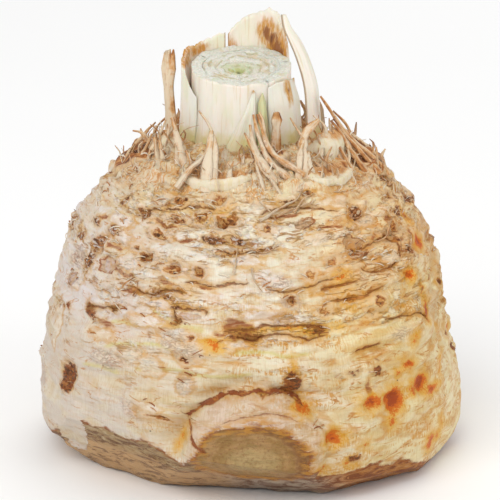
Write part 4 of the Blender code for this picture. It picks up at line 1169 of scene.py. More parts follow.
    # Pits with a pale lip and a crumbly floor.
    pit_edge = p.plus(pit, p.times(ragged, 0.8))
    p.lay(OCHRE, p.ramp(pit_edge, 3.4, 0.6, 0, 0.6))
    lip = p.times(p.ramp(pit_edge, 1.7, 1.0), p.ramp(pit_edge, 0.2, 0.7))
    p.lay(BEIGE, lip, 0.55)
    pit_floor = p.shades(p.scaled(crumb, 0.5, p.times(fine, 0.6)), (
        (0.34, SCAB_DARK), (0.46, RING_BROWN), (0.58, SIENNA), (0.7, PIT_TAN)))
    pit_tone = p.blend(p.ramp(pit_edge, 0.1, -0.4), BAND_RED, pit_floor)
    p.lay(pit_tone, p.ramp(pit_edge, 0.4, -0.2, 0, 0.92))

    # Dark grooves.
    groove_away = p.absolute(p.plus(groove, p.times(jitter, 1.1)))
    groove_wide = p.times(groove_width, p.ramp(torn, 0.38, 0.6, 0.3, 1.2), p.ramp(z, 38, 46, 0.85, 0.66))
    near_groove = p.ramp(groove_width, 0, 0.25)
    p.lay(OCHRE, p.ramp(groove_away, 1.6, 0.2), near_groove, 0.5)
    groove_line = p.times(p.ramp(p.minus(groove_wide, groove_away), -0.22, 0.15), near_groove)
    groove_tone = p.blend(p.ramp(z, 50, 40), p.blend(right, RING_DARK, RING_BROWN), BAND_RED)
    groove_tone = p.over(groove_tone, SIENNA, p.ramp(fine, 0.5, 0.64))
    p.lay(groove_tone, groove_line, p.ramp(z, 38, 46, 0.92, 0.75))

    # The trimming cuts, with their underside, ledge, the tongue of skin left on them and their rim.
    cut_fibre = p.noise(p.stretch(place, (0.24, 0.24, 1)), 1.5, 5, 0.7, 0.9)
    cut_tone = p.blend(p.ramp(x, -16, -4), CUT_GREY, CUT_LILAC)
    cut_tone = p.over(cut_tone, CUT_WARM, p.ramp(x, 14, 30))
    cut_dark = p.blend(p.ramp(x, 8, 30), CUT_BROWN, CUT_RUST)
    cut_tone = p.over(cut_tone, cut_dark, p.ramp(cut_fibre, 0.46, 0.57, 0, 0.9))
    cut_tone = p.over(cut_tone, CUT_PALE, p.ramp(cut_fibre, 0.44, 0.34), p.ramp(x, 14, 30, 0.8, 0.35))
    cut_edge = p.plus(cut, p.scaled(p.centred(patchy), 7.0, p.times(jitter, 2.4)))
    low = p.minus(cut_edge, p.ramp(x, -50, -16, 4.4, 6.4))
    low_side = p.times(p.ramp(x, 2, -14), p.ramp(z, 13, 9))
    cut_tone = p.over(cut_tone, UNDERSIDE, p.ramp(low, -0.3, 0.4), low_side,
                      p.ramp(cut_fibre, 0.5, 0.6, 0.95, 0.2))
    ledge = p.times(p.ramp(p.absolute(p.plus(low, 0.3)), 1.0, 0.2), low_side)
    cut_tone = p.over(cut_tone, CUT_BROWN, ledge, p.ramp(torn, 0.42, 0.54, 0.2, 0.85))
    tongue = p.stretch(place, (1, 0.5, 0.22), (49.5 + MIDDLE[0], 0.5 * (30 + MIDDLE[1]), -0.22 * 11))
    tongue = p.add("ShaderNodeVectorMath", {0: tongue}, "Value", operation="LENGTH")
    cut_edge = p.minus(cut_edge, p.times(p.ramp(p.plus(tongue, p.times(jitter, 3.0)), 5.4, 3.2), 12.0))
    cut_edge = p.plus(cut_edge, p.times(p.ramp(x, 12, 26), p.ramp(x, 58, 48), 2.8))
    p.lay(cut_tone, p.ramp(cut_edge, -0.2, 0.3))
    cut_rim = p.times(p.ramp(cut_edge, -0.7, 0.1), p.ramp(cut_edge, 0.9, 0.3),
                      p.ramp(torn, 0.42, 0.56, 0.25, 0.85))
    p.lay(RING_BROWN, cut_rim)

    # The cut face of the side root, with its rings and rough rim.
    stump_edge = p.plus(stump, p.scaled(p.centred(patchy), 3.0, p.times(jitter, 3.2)))
    spot = p.stretch(place, (1, 1, 1.45), (-0.9 + MIDDLE[0], 60.0 + MIDDLE[1], -1.45 * 15.0))
    away = p.add("ShaderNodeVectorMath", {0: spot}, "Value", operation="LENGTH")
    wavy = p.moved(away, p.noise(place, 5, 3, 0.6), 6.0)
    rings = p.sum("SINE", p.times(wavy, 2.2))
    stump_tone = p.blend(p.ramp(p.scaled(rings, 0.06, p.noise(place, 5, 4, 0.65)), 0.38, 0.62),
                         STUMP_GREEN, STUMP_TAN)
    stump_tone = p.over(stump_tone, STUMP_LIGHT, p.ramp(wavy, 9.5, 4.0, 0, 0.6))
    stump_tone = p.over(stump_tone, STUMP_BROWN, p.ramp(p.noise(place, 0.9, 5, 0.75), 0.46, 0.68, 0, 0.6))
    rough_rim = p.minus(stump_edge, p.ramp(x, -14, 14, 0.0, 3.4))
    stump_tone = p.over(stump_tone, STUMP_BROWN, p.ramp(rough_rim, 2.4, -1.2),
                        p.ramp(p.noise(place, 1.3, 4, 0.7), 0.36, 0.56, 0.5, 0.9))
    p.lay(stump_tone, p.ramp(stump_edge, -0.2, 0.3))
    stump_rim = p.times(p.ramp(stump_edge, -1.6, -0.1), p.ramp(stump_edge, 1.0, 0.2))
    p.lay(RING_BROWN, stump_rim, p.ramp(torn, 0.4, 0.56, 0.2, 0.85))
    upper_rim = p.times(p.ramp(stump_edge, -2.6, -0.6), p.ramp(stump_edge, 3.4, 0.8),
                        p.ramp(streaks, 0.44, 0.56))
    p.lay(GOLD, upper_rim, 0.7)

    # Dark specks.
    dots = p.cells(point, 4.6)
    pick = p.parts(p.cells(point, 4.6, "Color"))[1]
    dot = p.times(p.ramp(dots, 0.06, 0.035), p.ramp(pick, 0.6, 0.64))
    p.lay(SPECK, dot, 0.8)

    # Broad tints: warm on the right, cool in the upper middle, and painted shade low down and in the lower
    # middle.
    p.tint(WARMTH, p.ramp(x, -4, 40, 0, 0.85))
    p.tint(LOW_SHADE, p.ramp(z, 48, 34), p.ramp(x, 56, 36))
    p.tint(CENTRE_SHADE, p.ramp(z, 48, 38), p.ramp(x, -26, -12), p.ramp(x, 32, 18))
    p.tint(COOL, p.ramp(z, 40, 54), p.ramp(x, 26, 6), p.ramp(z, 82, 72))
    p.tint(RUDDY, p.ramp(z, 54, 64), p.ramp(x, 12, 28))

    # Fine relief, weaker on the cut faces.
    whole = p.times(p.ramp(p.sum("MAXIMUM", cut_edge, stump_edge), 0.2, -0.2), p.ramp(z, 26, 54, 0.5, 1))
    height = p.scaled(fine, 0.5, p.times(fibres, 0.16))
    height = p.scaled(clouds, -0.9, height)
    height = p.scaled(p.ramp(curl, 0.0, 0.08), p.ramp(curled, 0, 1, 0.08, 0.4), height)
    height = p.minus(height, p.times(p.sum("MAXIMUM", ring_line, groove_line), 0.5))
    height = p.scaled(shred, 0.35, height)
    height = p.minus(height, p.times(p.ramp(streaks, 0.56, 0.66), busy, 0.4))
    height = p.scaled(p.times(grain, p.ramp(scab_edge, 0.8, -0.4)), 1.2, height)
    height = p.scaled(cut_fibre, p.ramp(whole, 0, 1, 0.9, 0), p.times(height, p.ramp(whole, 0, 1, 0.35, 1)))
    rough = p.plus(p.ramp(grain, 0.3, 0.7, 0.46, 0.7), p.ramp(z, 30, 52, -0.1, 0.04))
    return p.finish(rough, p.bump(height, 0.6))


def paint_flesh(name, white, tan):
    """Fresh leaf stalk: veined ivory flesh, green towards the foot, with stains and a frosted cut."""
    p = Paint(name, Subsurface_Weight=0.16, Subsurface_Scale=0.006)
    fibre = p.field("fibre")
    _, along, cap = p.parts(fibre)
    stain, green, edge = p.parts(p.field("tint"))
    place = p.place()
    lengthwise = p.stretch(fibre, (1, 0.06, 1))
    veins = p.noise(lengthwise, 1.0, 3, 0.6)
    ribs = p.noise(p.stretch(fibre, (1, 0.05, 1)), 3.6, 3, 0.5)
    grain = p.noise(place, 0.6, 3, 0.65)
    mottle = p.noise(place, 2.4, 3, 0.6)
    p.colour = p.blend(p.ramp(ribs, 0.42, 0.7, 0, 0.6), white, tan)
    limes = p.noise(p.stretch(fibre, (1, 0.35, 1)), 7.0, 3, 0.55)
    p.lay(FLESH_LIME, p.ramp(limes, 0.48, 0.64, 0, 0.55))
    p.lay(FLESH_VEIN, p.ramp(veins, 0.54, 0.7, 0, 0.55))
    foot = p.moved(along, mottle, 6.0)
    p.lay(FOOT_LIME, p.ramp(foot, 11.5, 7.5), p.ramp(ribs, 0.62, 0.4, 0.45, 0.9))
    p.lay(FOOT_BROWN, p.ramp(foot, 6.6, 5.0, 0, 0.85))
    p.lay(BUD_GREEN, green, 0.85)

    loose = p.swing(p.noise(p.stretch(fibre, (1, 0.3, 1)), 1.3, 4, 0.65), 4.0)
    rim = p.plus(edge, p.times(loose, 0.25))
    p.lay(TORN_EDGE, p.ramp(rim, 0.6, 0.1, 0, 0.85))
    stained = p.plus(stain, loose)
    flecks = p.ramp(p.noise(p.stretch(fibre, (1, 0.2, 1)), 0.9, 4, 0.7), 0.36, 0.56, 0.45, 1)
    p.lay(FLESH_GOLD, p.ramp(stained, 2.4, 0.2), flecks)
    p.lay(FLESH_RUST, p.ramp(stained, -0.3, -1.4, 0, 0.9))
    p.lay(FLESH_DARK, p.ramp(stained, -1.2, -2.4), p.ramp(veins, 0.45, 0.6))

    frost = p.blend(p.ramp(grain, 0.36, 0.66), FROST_GREY, FROST_WHITE)
    layers = p.noise(p.stretch(place, (0.5, 1, 0.2)), 1.3, 4, 0.6, 0.6)
    frost = p.over(frost, FROST_GREEN, p.ramp(layers, 0.54, 0.66, 0, 0.45))
    frost = p.over(frost, FROST_TAN, p.ramp(mottle, 0.54, 0.68, 0, 0.55))
    p.lay(frost, p.ramp(cap, 0.3, 0.7), p.ramp(stained, 0.2, 1.2))
    height = p.scaled(veins, 0.5, p.times(grain, p.ramp(cap, 0.3, 0.7, 0.15, 0.9)))
    return p.finish(p.ramp(grain, 0.3, 0.7, 0.38, 0.55), p.bump(height, 0.35))


def paint_heart():
    """The cut across the youngest stalks: white and green layers, round a small hole that is painted dark as
    shade.
    """
    p = Paint("celeriac_heart", Subsurface_Weight=0.18, Subsurface_Scale=0.006)
    _, depth, layer = p.parts(p.field("rings"))
    place = p.place()
    grain = p.noise(place, 0.5, 3, 0.7)
    soft = p.noise(place, 2.8, 3, 0.6)
    drift = p.noise(place, 5.5, 2, 0.5)
    wavy = p.moved(layer, soft, 2.6)
    seam = p.sum("PINGPONG", wavy, HEART_PITCH / 2)
    p.colour = p.blend(p.ramp(grain, 0.35, 0.65), FROST_GREY, FROST_WHITE)
    inner = p.moved(depth, soft, 0.9)
    p.lay(FROST_GREEN, p.ramp(inner, 0.62, 0.2, 0, 0.75))
    thin = p.times(p.ramp(seam, 0.42, 0.08), p.ramp(drift, 0.42, 0.56, 0.1, 0.8))
    p.lay(HEART_SEAM, thin)
    p.lay(FROST_TAN, p.ramp(drift, 0.52, 0.64), p.ramp(depth, 0.4, 0.8, 0.1, 0.6))
    p.lay(HEART_GREEN, p.ramp(inner, 0.26, 0.08, 0, 0.65))
    # Painted shade in the small hole in the middle.
    p.lay(HEART_HOLE_SHADE, p.ramp(depth, 0.13, 0.06))
    height = p.scaled(grain, 1.0, p.times(p.ramp(seam, 0.1, 0.6), 0.5))
    return p.finish(p.ramp(grain, 0.3, 0.7, 0.35, 0.5), p.bump(height, 0.3))


def paint_husk(name, pale, tan, brown):
    """Dry leaf tissue: fibres from pale to brown along the piece, darker at the strands' tips, with painted
    light and shade across each strand.
    """
    p = Paint(name, Subsurface_Weight=0.05, Subsurface_Scale=0.003)
    fibre = p.field("fibre")
    across, _, strand = p.parts(fibre)
    browned, dark, green = p.parts(p.field("tint"))
    place = p.place()
    lengthwise = p.stretch(fibre, (1, 0.12, 1))
    strands = p.noise(p.stretch(place, (1, 1, 0.35)), 0.9, 3, 0.65)
    lines = p.noise(lengthwise, 0.85, 4, 0.68, 1.4)
    patches = p.noise(place, 3.6, 3, 0.6)
    grain = p.noise(place, 0.45, 3, 0.7)
    amount = p.moved(browned, patches, 1.6)
    amount = p.moved(amount, lines, 1.1)
    p.colour = p.shades(amount, ((0.12, pale), (0.45, tan), (0.78, brown), (1.0, SCAB_DARK)))
    # Each strand is paler on its broad faces and browner on its narrow sides: painted light and shade that
    # round it.
    side = p.absolute(p.sum("COSINE", p.times(across, 2 * math.pi / STRAND_GIRTH)))
    side = p.moved(side, strands, 1.2)
    p.lay(pale, p.ramp(side, 0.6, 0.15, 0, 0.6), strand)
    p.lay(brown, p.ramp(side, 0.84, 1.04, 0, 0.55), strand)
    p.lay(pale, p.ramp(strands, 0.58, 0.74, 0, 0.4))
    p.lay(brown, p.ramp(strands, 0.4, 0.28, 0, 0.3))
    smooth_tone = p.blend(p.ramp(strands, 0.45, 0.62), RIM_PALE, RIM_YELLOW)
    p.lay(smooth_tone, green, p.ramp(patches, 0.3, 0.45, 0.8, 1))
    p.lay(RING_DARK, p.ramp(p.moved(dark, grain, 0.9), 0.55, 0.9))
    aside = p.absolute(p.parts(place)[0])
    dry = p.times(p.ramp(aside, 14, 40, 0.35, 1), p.ramp(green, 0, 1, 1, 0.15))
    p.tint(HUSK_WARMTH, dry)
    height = p.scaled(lines, p.ramp(green, 0, 1, 0.8, 0.15), p.times(grain, 0.4))
    return p.finish(p.ramp(grain, 0.3, 0.7, 0.55, 0.78), p.bump(height, 0.4))


def paint_crumbs():
    """Loose flakes and crumbs on the skin, each one tone between white and dark brown."""
    p = Paint("celeriac_crumbs", Subsurface_Weight=0.05, Subsurface_Scale=0.002)
    tone, _, _ = p.parts(p.field("tone"))
    place = p.place()
    grain = p.noise(place, 0.4, 3, 0.7)
    height = p.parts(place)[2]
    amount = p.moved(tone, grain, 0.5)
    amount = p.plus(amount, p.ramp(height, 56, 50, 0, 0.16))
    p.colour = p.shades(amount,
                        ((0.25, PAPER), (0.5, BEIGE), (0.68, SIENNA), (0.82, RING_BROWN), (1.0, RING_DARK)))
    return p.finish(p.ramp(grain, 0.3, 0.7, 0.55, 0.78), p.bump(grain, 0.25))


class Growth(Nodes):
    """A Geometry Nodes tree with named inputs and one mesh output."""

    def __init__(self, name, inputs):
        super().__init__(bpy.data.node_groups.new(name, "GeometryNodeTree"))
        face = self.tree.interface
        face.new_socket("Geometry", in_out="INPUT", socket_type="NodeSocketGeometry")
        for label, kind, value in inputs:
            socket = face.new_socket(label, in_out="INPUT", socket_type="NodeSocket" + kind)
            if value is not None:
                socket.default_value = value
        face.new_socket("Geometry", in_out="OUTPUT", socket_type="NodeSocketGeometry")
        self.given = self.tree.nodes.new("NodeGroupInput").outputs
        self.leave = self.tree.nodes.new("NodeGroupOutput").inputs[0]

    def named(self, name):
        """A number that is stored in the mesh under this name."""
        return self.add("GeometryNodeInputNamedAttribute", {"Name": name}, "Attribute", data_type="FLOAT")

    def random(self, least, most, seed):
        return self.add("FunctionNodeRandomValue", {2: least, 3: most, "Seed": seed}, 1)

    def vector(self, **parts):
        return self.add("ShaderNodeCombineXYZ", parts)

    def store(self, geometry, name, kind, value, domain="POINT"):
        inputs = {"Geometry": geometry, "Name": name, "Value": value}
        return self.add("GeometryNodeStoreNamedAttribute", inputs, data_type=kind, domain=domain)

    def math(self, operation, a, b=0.5):
        return self.add("ShaderNodeMath", {0: a, 1: b}, operation=operation)

    def close(self, geometry):
        """Ends the tree with realised instances and the given material."""
        real = self.add("GeometryNodeRealizeInstances", {"Geometry": geometry})
        done = self.add("GeometryNodeSetMaterial", {"Geometry": real, "Material": self.given["Material"]})
        self.put(self.leave, done)
        return self.tree


def strand_tree():
    """Turns loose lines of a mesh into flattened strands. A line's thickness is in its own attribute."""
    g = Growth("celeriac_strands", (
        ("Flatness", "Float", 0.6), ("Sides", "Int", 8), ("Material", "Material", None)))
    given = g.given
    thick = g.named("thickness")
    is_line = g.add("FunctionNodeCompare", {0: thick, 1: 0.0}, operation="GREATER_THAN")
    split = g.add("GeometryNodeSeparateGeometry", {"Geometry": given["Geometry"], "Selection": is_line}).node
    line = g.add("GeometryNodeMeshToCurve", {"Mesh": split.outputs["Selection"]})
    length = g.add("GeometryNodeSplineParameter", {}, "Length")
    line = g.store(line, "along", "FLOAT", g.math("DIVIDE", length, MM))
    ring = g.add("GeometryNodeCurvePrimitiveCircle", {"Resolution": given["Sides"], "Radius": 1.0})
    squash = g.vector(X=1.0, Y=given["Flatness"], Z=1.0)
    ring = g.add("GeometryNodeTransform", {"Geometry": ring, "Scale": squash})
    share = g.add("GeometryNodeSplineParameter", {}, "Factor")
    ring = g.store(ring, "around", "FLOAT", g.math("MULTIPLY", share, STRAND_GIRTH))
    tube = g.add("GeometryNodeCurveToMesh", {
        "Curve": line, "Profile Curve": ring, "Scale": g.math("MULTIPLY", thick, 0.5), "Fill Caps": True})
    fibre = g.vector(X=g.named("around"), Y=g.named("along"), Z=1.0)
    tube = g.store(tube, "fibre", "FLOAT_VECTOR", fibre)
    joined = g.add("GeometryNodeJoinGeometry", {"Geometry": tube})
    g.put(joined.node.inputs[0], split.outputs["Inverted"])
    return g.close(joined)


def run_rows():
    """Runs of the skin mesh's rows, close together where the side is seen."""
    starts = [start for start, _ in SKIN_ROWS] + [SIDE_RUNS[-1]]
    rows = [np.linspace(a, b, count, endpoint=False) for (a, count), b in zip(SKIN_ROWS, starts[1:])]
    return np.concatenate(rows)


def edge_distance(depth, points, rows, columns):
    """Turns depth beyond a cut into distance along the skin from the cut's edge, in mm."""
    depth = depth.reshape(rows, columns)
    grid = points.reshape(rows, columns, 3)
    along = np.linalg.norm(np.gradient(grid, axis=0), axis=2)
    round_ = np.linalg.norm(np.roll(grid, -1, 1) - np.roll(grid, 1, 1), axis=2) / 2
    slope = np.hypot(np.gradient(depth, axis=0) / along,
                     (np.roll(depth, -1, 1) - np.roll(depth, 1, 1)) / 2 / round_)
    return np.clip(depth / np.maximum(slope, LEAST_SLOPE), -MARK_FAR, MARK_FAR).ravel()


class CeleriacRootSizes(bpy.types.PropertyGroup):
    rings: bpy.props.FloatProperty(
        name="Ring share", description="Height of the leaf rings as a share of the solid's rings",
        default=0.55, min=0, max=1, subtype="FACTOR")
    fold: bpy.props.FloatProperty(
        name="Fold height", description="Height of the uneven folds that run round the skin",
        default=0.75 * MM, min=0, subtype="DISTANCE", unit="LENGTH")
    wave: bpy.props.FloatProperty(
        name="Wave height", description="Height of the long waves that run round the root",
        default=0.8 * MM, min=0, subtype="DISTANCE", unit="LENGTH")
    wrinkle: bpy.props.FloatProperty(
        name="Wrinkle height", description="Height of the small wrinkles between the folds",
        default=0.3 * MM, min=0, subtype="DISTANCE", unit="LENGTH")
    groove: bpy.props.FloatProperty(
        name="Groove depth", description="Depth of the cracks and creases in the skin",
        default=0.9 * MM, min=0, subtype="DISTANCE", unit="LENGTH")
    pit: bpy.props.FloatProperty(
        name="Pit depth", description="Depth of the pits that thin roots left",
        default=0.7 * MM, min=0, subtype="DISTANCE", unit="LENGTH")
    scab: bpy.props.FloatProperty(
        name="Scab height", description="Height of the crumbly scabs",
        default=0.55 * MM, min=0, subtype="DISTANCE", unit="LENGTH")


class CELERIAC_OT_root(bpy.types.Operator):
    """Build the swollen root: its rings, scars, knobs, the cut side root and the trimmed foot"""

    bl_idname = "celeriac.root"
    bl_label = "Root"

    def execute(self, context):
        sizes = context.scene.celeriac_root
        # A grid over the skin, finer at the front, with the distances to all marks and lines.
        runs = run_rows()
        turn = np.arange(SKIN_COLUMNS) * 2 * math.pi / SKIN_COLUMNS
        azimuths = np.degrees(turn - FRONT_DENSITY * np.sin(turn))
        patch = Skin(azimuths[None, :], runs[:, None])
        bend = [layered(patch.sphere, layers) for layers in BENDS]
        marks = {kind: mark_distance(patch, rows, bend) for kind, rows in marks_of_skin().items()}
        half_bend = [0.5 * values for values in bend]
        groove, groove_width = line_distance(patch, grooves_of_skin(), half_bend)
        vein, vein_width = line_distance(patch, VEINS, half_bend)

        # Fine relief, then the cuts.
        folds, waves, curls = (np.abs(roughness(patch.sphere * stretch, *noises)) for stretch, noises in (
            (LEVEL, FOLD_NOISE), (LONG, WAVE_NOISE), (CURLED, CURL_NOISE)))
        wrinkled = mark_distance(patch, WRINKLED, bend)
        rise = self.rough(patch, marks, sizes)
        rise += sizes.fold / MM * (folds - 0.25) * (0.3 + 0.7 * patch.ring_fade)
        rise += sizes.wave / MM * (2.2 * waves - 0.4) * step(patch.height, *WAVE_HEIGHTS)
        rise += sizes.wrinkle / MM * step(-wrinkled, -1.0, 0.6) * (2.6 * curls + 0.2)
        in_groove = np.exp(-((groove / np.maximum(groove_width, 0.3) / 1.1) ** 2))
        rise -= sizes.groove / MM * in_groove * step(groove_width, 0, 0.3)
        points, depths = patch.points(rise)
        rows = len(runs)
        stump = edge_distance(depths[0], points, rows, SKIN_COLUMNS)
        cut = edge_distance(np.max(depths[1:], axis=0), points, rows, SKIN_COLUMNS)
        points = self.planed(points, np.maximum(stump, cut))

        # Fields for the paint: values over the grid, then at the crown's middle and at the foot's.
        points = np.vstack([skin(0.0, 0.0).reshape(1, 3), points, [[0.0, 0.0, 0.0]]])
        on_boss = patch.boss_front * step(1.0 - patch.boss, 0.02, 0.14)
        boss = (1 - patch.boss) * BOSS_REACH[0] * on_boss - 0.5
        far, foot = MARK_FAR, SIDE_RUNS[-1]
        fields = {
            "skin": (patch.sphere.T, (0, 0, 0), (0, 0, foot)),
            "marks": ([marks[kind] for kind in ("pits", "scabs", "stains")], (far, far, far)),
            "patches": ([marks[kind] for kind in ("flats", "browns", "whites")], (far, far, far)),
            "forms": ((patch.phase * RING_PITCH, cut, stump), (0, -far, -far), (foot, far, -far)),
            "grooves": ((groove, groove_width, boss), (far, NO_LINE, -1)),
            "veins": ((vein, vein_width, patch.ring_fade), (far, NO_LINE, 0)),
            "relief": ((folds, waves, wrinkled), (0.5, 0.5, far)),
        }
        fields = {name: np.vstack([poles[0], np.stack(values, 1), poles[-1]])
                  for name, (values, *poles) in fields.items()}
        root = new_piece("celeriac_root", points, self.faces(rows), fields, paint_skin())

        # Where flakes, crumbs and tufts grow.
        rough_spots = roughness(patch.sphere * FLATTER, *FLAKE_NOISE) * 2.2
        near = step(-np.minimum(marks["scabs"], marks["whites"]), -2.5, 0.0)
        flaky = np.clip(step(patch.height, *FLAKE_HEIGHTS) * (0.35 + rough_spots) + 0.5 * near, 0, 1)
        flaky *= step(-np.maximum(stump, cut), 0.5, 1.5)
        reach = np.hypot(patch.base[:, 0] - BUNDLE_X, patch.base[:, 1])
        tufty = step(patch.height, *TUFT_HEIGHTS) * step(reach, *TUFT_REACH)
        tufty *= 0.15 + 0.85 * step(rough_spots, -0.4, 0.6)
        crumbly = step(-marks["scabs"], -0.6, 0.4)
        for name, values in (("flaky", flaky), ("crumbly", crumbly), ("tufty", tufty)):
            weight = root.data.attributes.new(name, "FLOAT", "POINT")
            weight.data.foreach_set("value", np.concatenate([[0], values, [0]]).astype(np.float32))
        stand_for(root, "root")
        return {"FINISHED"}

    @staticmethod
    def rough(patch, marks, sizes):
        """The skin's fine relief: folds, wrinkles, pits with raised rims, scabs and sunken flat scars."""
        fold, wrinkle, scab, pit = (size / MM for size in (sizes.fold, sizes.wrinkle, sizes.scab, sizes.pit))
        rise = patch.relief(sizes.rings)
        rise += 0.6 * fold * roughness(patch.sphere * FLATTER, *LUMP_NOISE)
        rise += wrinkle * layered(patch.sphere * LEVEL, WRINKLE_LAYERS) * (0.3 + 0.7 * patch.ring_fade)
        coarse, fine = TISSUE_NOISES
        tissue = roughness(patch.sphere * TALL, *coarse) + 0.6 * roughness(patch.sphere * TALLER, *fine)
        rise += fold * tissue * step(patch.height, *TISSUE_HEIGHTS)
        grit = np.abs(roughness(patch.sphere, *GRIT_NOISE))
        rise += scab * step(-marks["scabs"], -0.6, 0.8) * (0.1 + 1.3 * grit)
        rise += scab * step(-marks["whites"], -0.8, 0.6) * (0.2 + 0.7 * grit)
        rise -= pit * step(-marks["pits"], -0.5, 0.8)
        rise += 0.35 * pit * np.exp(-(((marks["pits"] - 0.8) / 0.6) ** 2))
        rise -= 0.35 * pit * step(-marks["flats"], -0.3, 0.4)
        rise += 0.3 * pit * np.exp(-(((marks["flats"] - 0.3) / 0.5) ** 2))
        rise -= 0.4 * pit * step(-marks["browns"], -0.4, 0.8)
        return rise

    @staticmethod
    def planed(points, beyond):
        """Roughens the cut faces with the marks of the blade and torn fibres."""
        facing = points - (0, 0, 30)
        facing /= np.linalg.norm(facing, axis=1)[:, None]
        rise = BLADE_RISE * roughness(points * BLADE_STRETCH, *BLADE_NOISE)
        rise = rise + CHIP_RISE * roughness(points, *CHIP_NOISE)
        points = points + facing * (step(beyond, 0.0, 1.2) * rise)[:, None]
        points[:, 2] = np.maximum(points[:, 2], 0)
        return points

    @staticmethod
    def faces(rows):
        """Quads between the rows, closed round the columns, and fans at the crown and the foot."""
        faces = band_faces(1, rows - 1, SKIN_COLUMNS)[:, [0, 3, 2, 1]].tolist()
        last = 1 + (rows - 1) * SKIN_COLUMNS
        pairs = [(column, (column + 1) % SKIN_COLUMNS) for column in range(SKIN_COLUMNS)]
        faces += [(0, 1 + a, 1 + b) for a, b in pairs]
        return faces + [(last + b, last + a, last + SKIN_COLUMNS) for a, b in pairs]


# The floor in metres, and the lamps: (name, place, width, setting of the power).
FLOOR_REACH = 4
FLOOR_DROP = 0.0002
FLOOR_CORNERS = ((-1, -1), (1, -1), (1, 1), (-1, 1))
LAMPS = (
    ("key", (-0.55, -1.0, 1.15), 1.1, "key"), ("fill", (1.1, -0.75, 0.7), 0.9, "fill"),
    ("back", (0.3, 1.1, 1.0), 1.0, "fill"),
)
LAMP_AIM = (0, 0, 0.05)


class CeleriacStudioSizes(bpy.types.PropertyGroup):
    distance: bpy.props.FloatProperty(
        name="Camera distance", description="Distance of the camera from the root's axis, along the floor",
        default=719.4 * MM, min=0.1, subtype="DISTANCE", unit="LENGTH")
    height: bpy.props.FloatProperty(
        name="Camera height", description="Height of the camera above the floor",
        default=263.2 * MM, min=0, subtype="DISTANCE", unit="LENGTH")
    tilt: bpy.props.FloatProperty(
        name="Camera tilt", description="How far the camera looks down",
        default=math.radians(16), subtype="ANGLE", unit="ROTATION")
    lens: bpy.props.FloatProperty(
        name="Lens", description="Focal length of the camera", default=188.8, min=10, unit="CAMERA")
    key: bpy.props.FloatProperty(
        name="Key light", description="Power of the large soft light at the front",
        default=13.0, min=0, unit="POWER")
    fill: bpy.props.FloatProperty(
        name="Fill light", description="Power of the soft light at the right",
        default=4.0, min=0, unit="POWER")
    sky: bpy.props.FloatProperty(
        name="Room light", description="Strength of the even light from all sides", default=0.62, min=0)


class CELERIAC_OT_studio(bpy.types.Operator):
    """Set up the pale floor, the soft lights and the camera"""

    bl_idname = "celeriac.studio"
    bl_label = "Studio"

    def execute(self, context):
        sizes = context.scene.celeriac_studio
        scene = context.scene
        scene.view_settings.view_transform = "Standard"
        floor = bpy.data.meshes.new("studio_floor")
        corners = [(x * FLOOR_REACH, y * FLOOR_REACH, -FLOOR_DROP) for x, y in FLOOR_CORNERS]
        floor.from_pydata(corners, [], [(0, 1, 2, 3)])
        p = Paint("studio_paper")
        cloud = p.noise(p.place(), 400, 2)
        paper = p.blend(cloud, shade("FCFCFC"), shade("F8F8F7"))
        p.put(p.shader.inputs["Base Color"], paper)
        p.shader.inputs["Roughness"].default_value = 0.9
        floor.materials.append(p.material)
        board = bpy.data.objects.new("studio_floor", floor)
        scene.collection.objects.link(board)

        camera = bpy.data.cameras.new("studio_camera")
        camera.lens = sizes.lens
        camera.sensor_width = 36
        camera.clip_start = 0.01
        eye = bpy.data.objects.new("studio_camera", camera)
        eye.location = (-MIDDLE[0] * MM, -sizes.distance, sizes.height)
        eye.rotation_euler = (math.pi / 2 - sizes.tilt, 0, 0)
        scene.collection.objects.link(eye)
        scene.camera = eye

        for name, place, size, power in LAMPS:
            self.lamp(scene, "studio_" + name, place, size, getattr(sizes, power))

        world = bpy.data.worlds.new("studio_room")
        world.use_nodes = True
        background = world.node_tree.nodes["Background"]
        background.inputs["Color"].default_value = (1, 1, 1, 1)
        background.inputs["Strength"].default_value = sizes.sky
        scene.world = world
        return {"FINISHED"}

    @staticmethod
    def lamp(scene, name, place, size, power):
        """A square soft light that faces the middle of the root."""
        light = bpy.data.lights.new(name, "AREA")
        light.size = size
        light.energy = power
        lamp = bpy.data.objects.new(name, light)
        lamp.location = place
        aim = Vector(LAMP_AIM) - lamp.location
        lamp.rotation_euler = aim.to_track_quat("-Z", "Y").to_euler()
        scene.collection.objects.link(lamp)


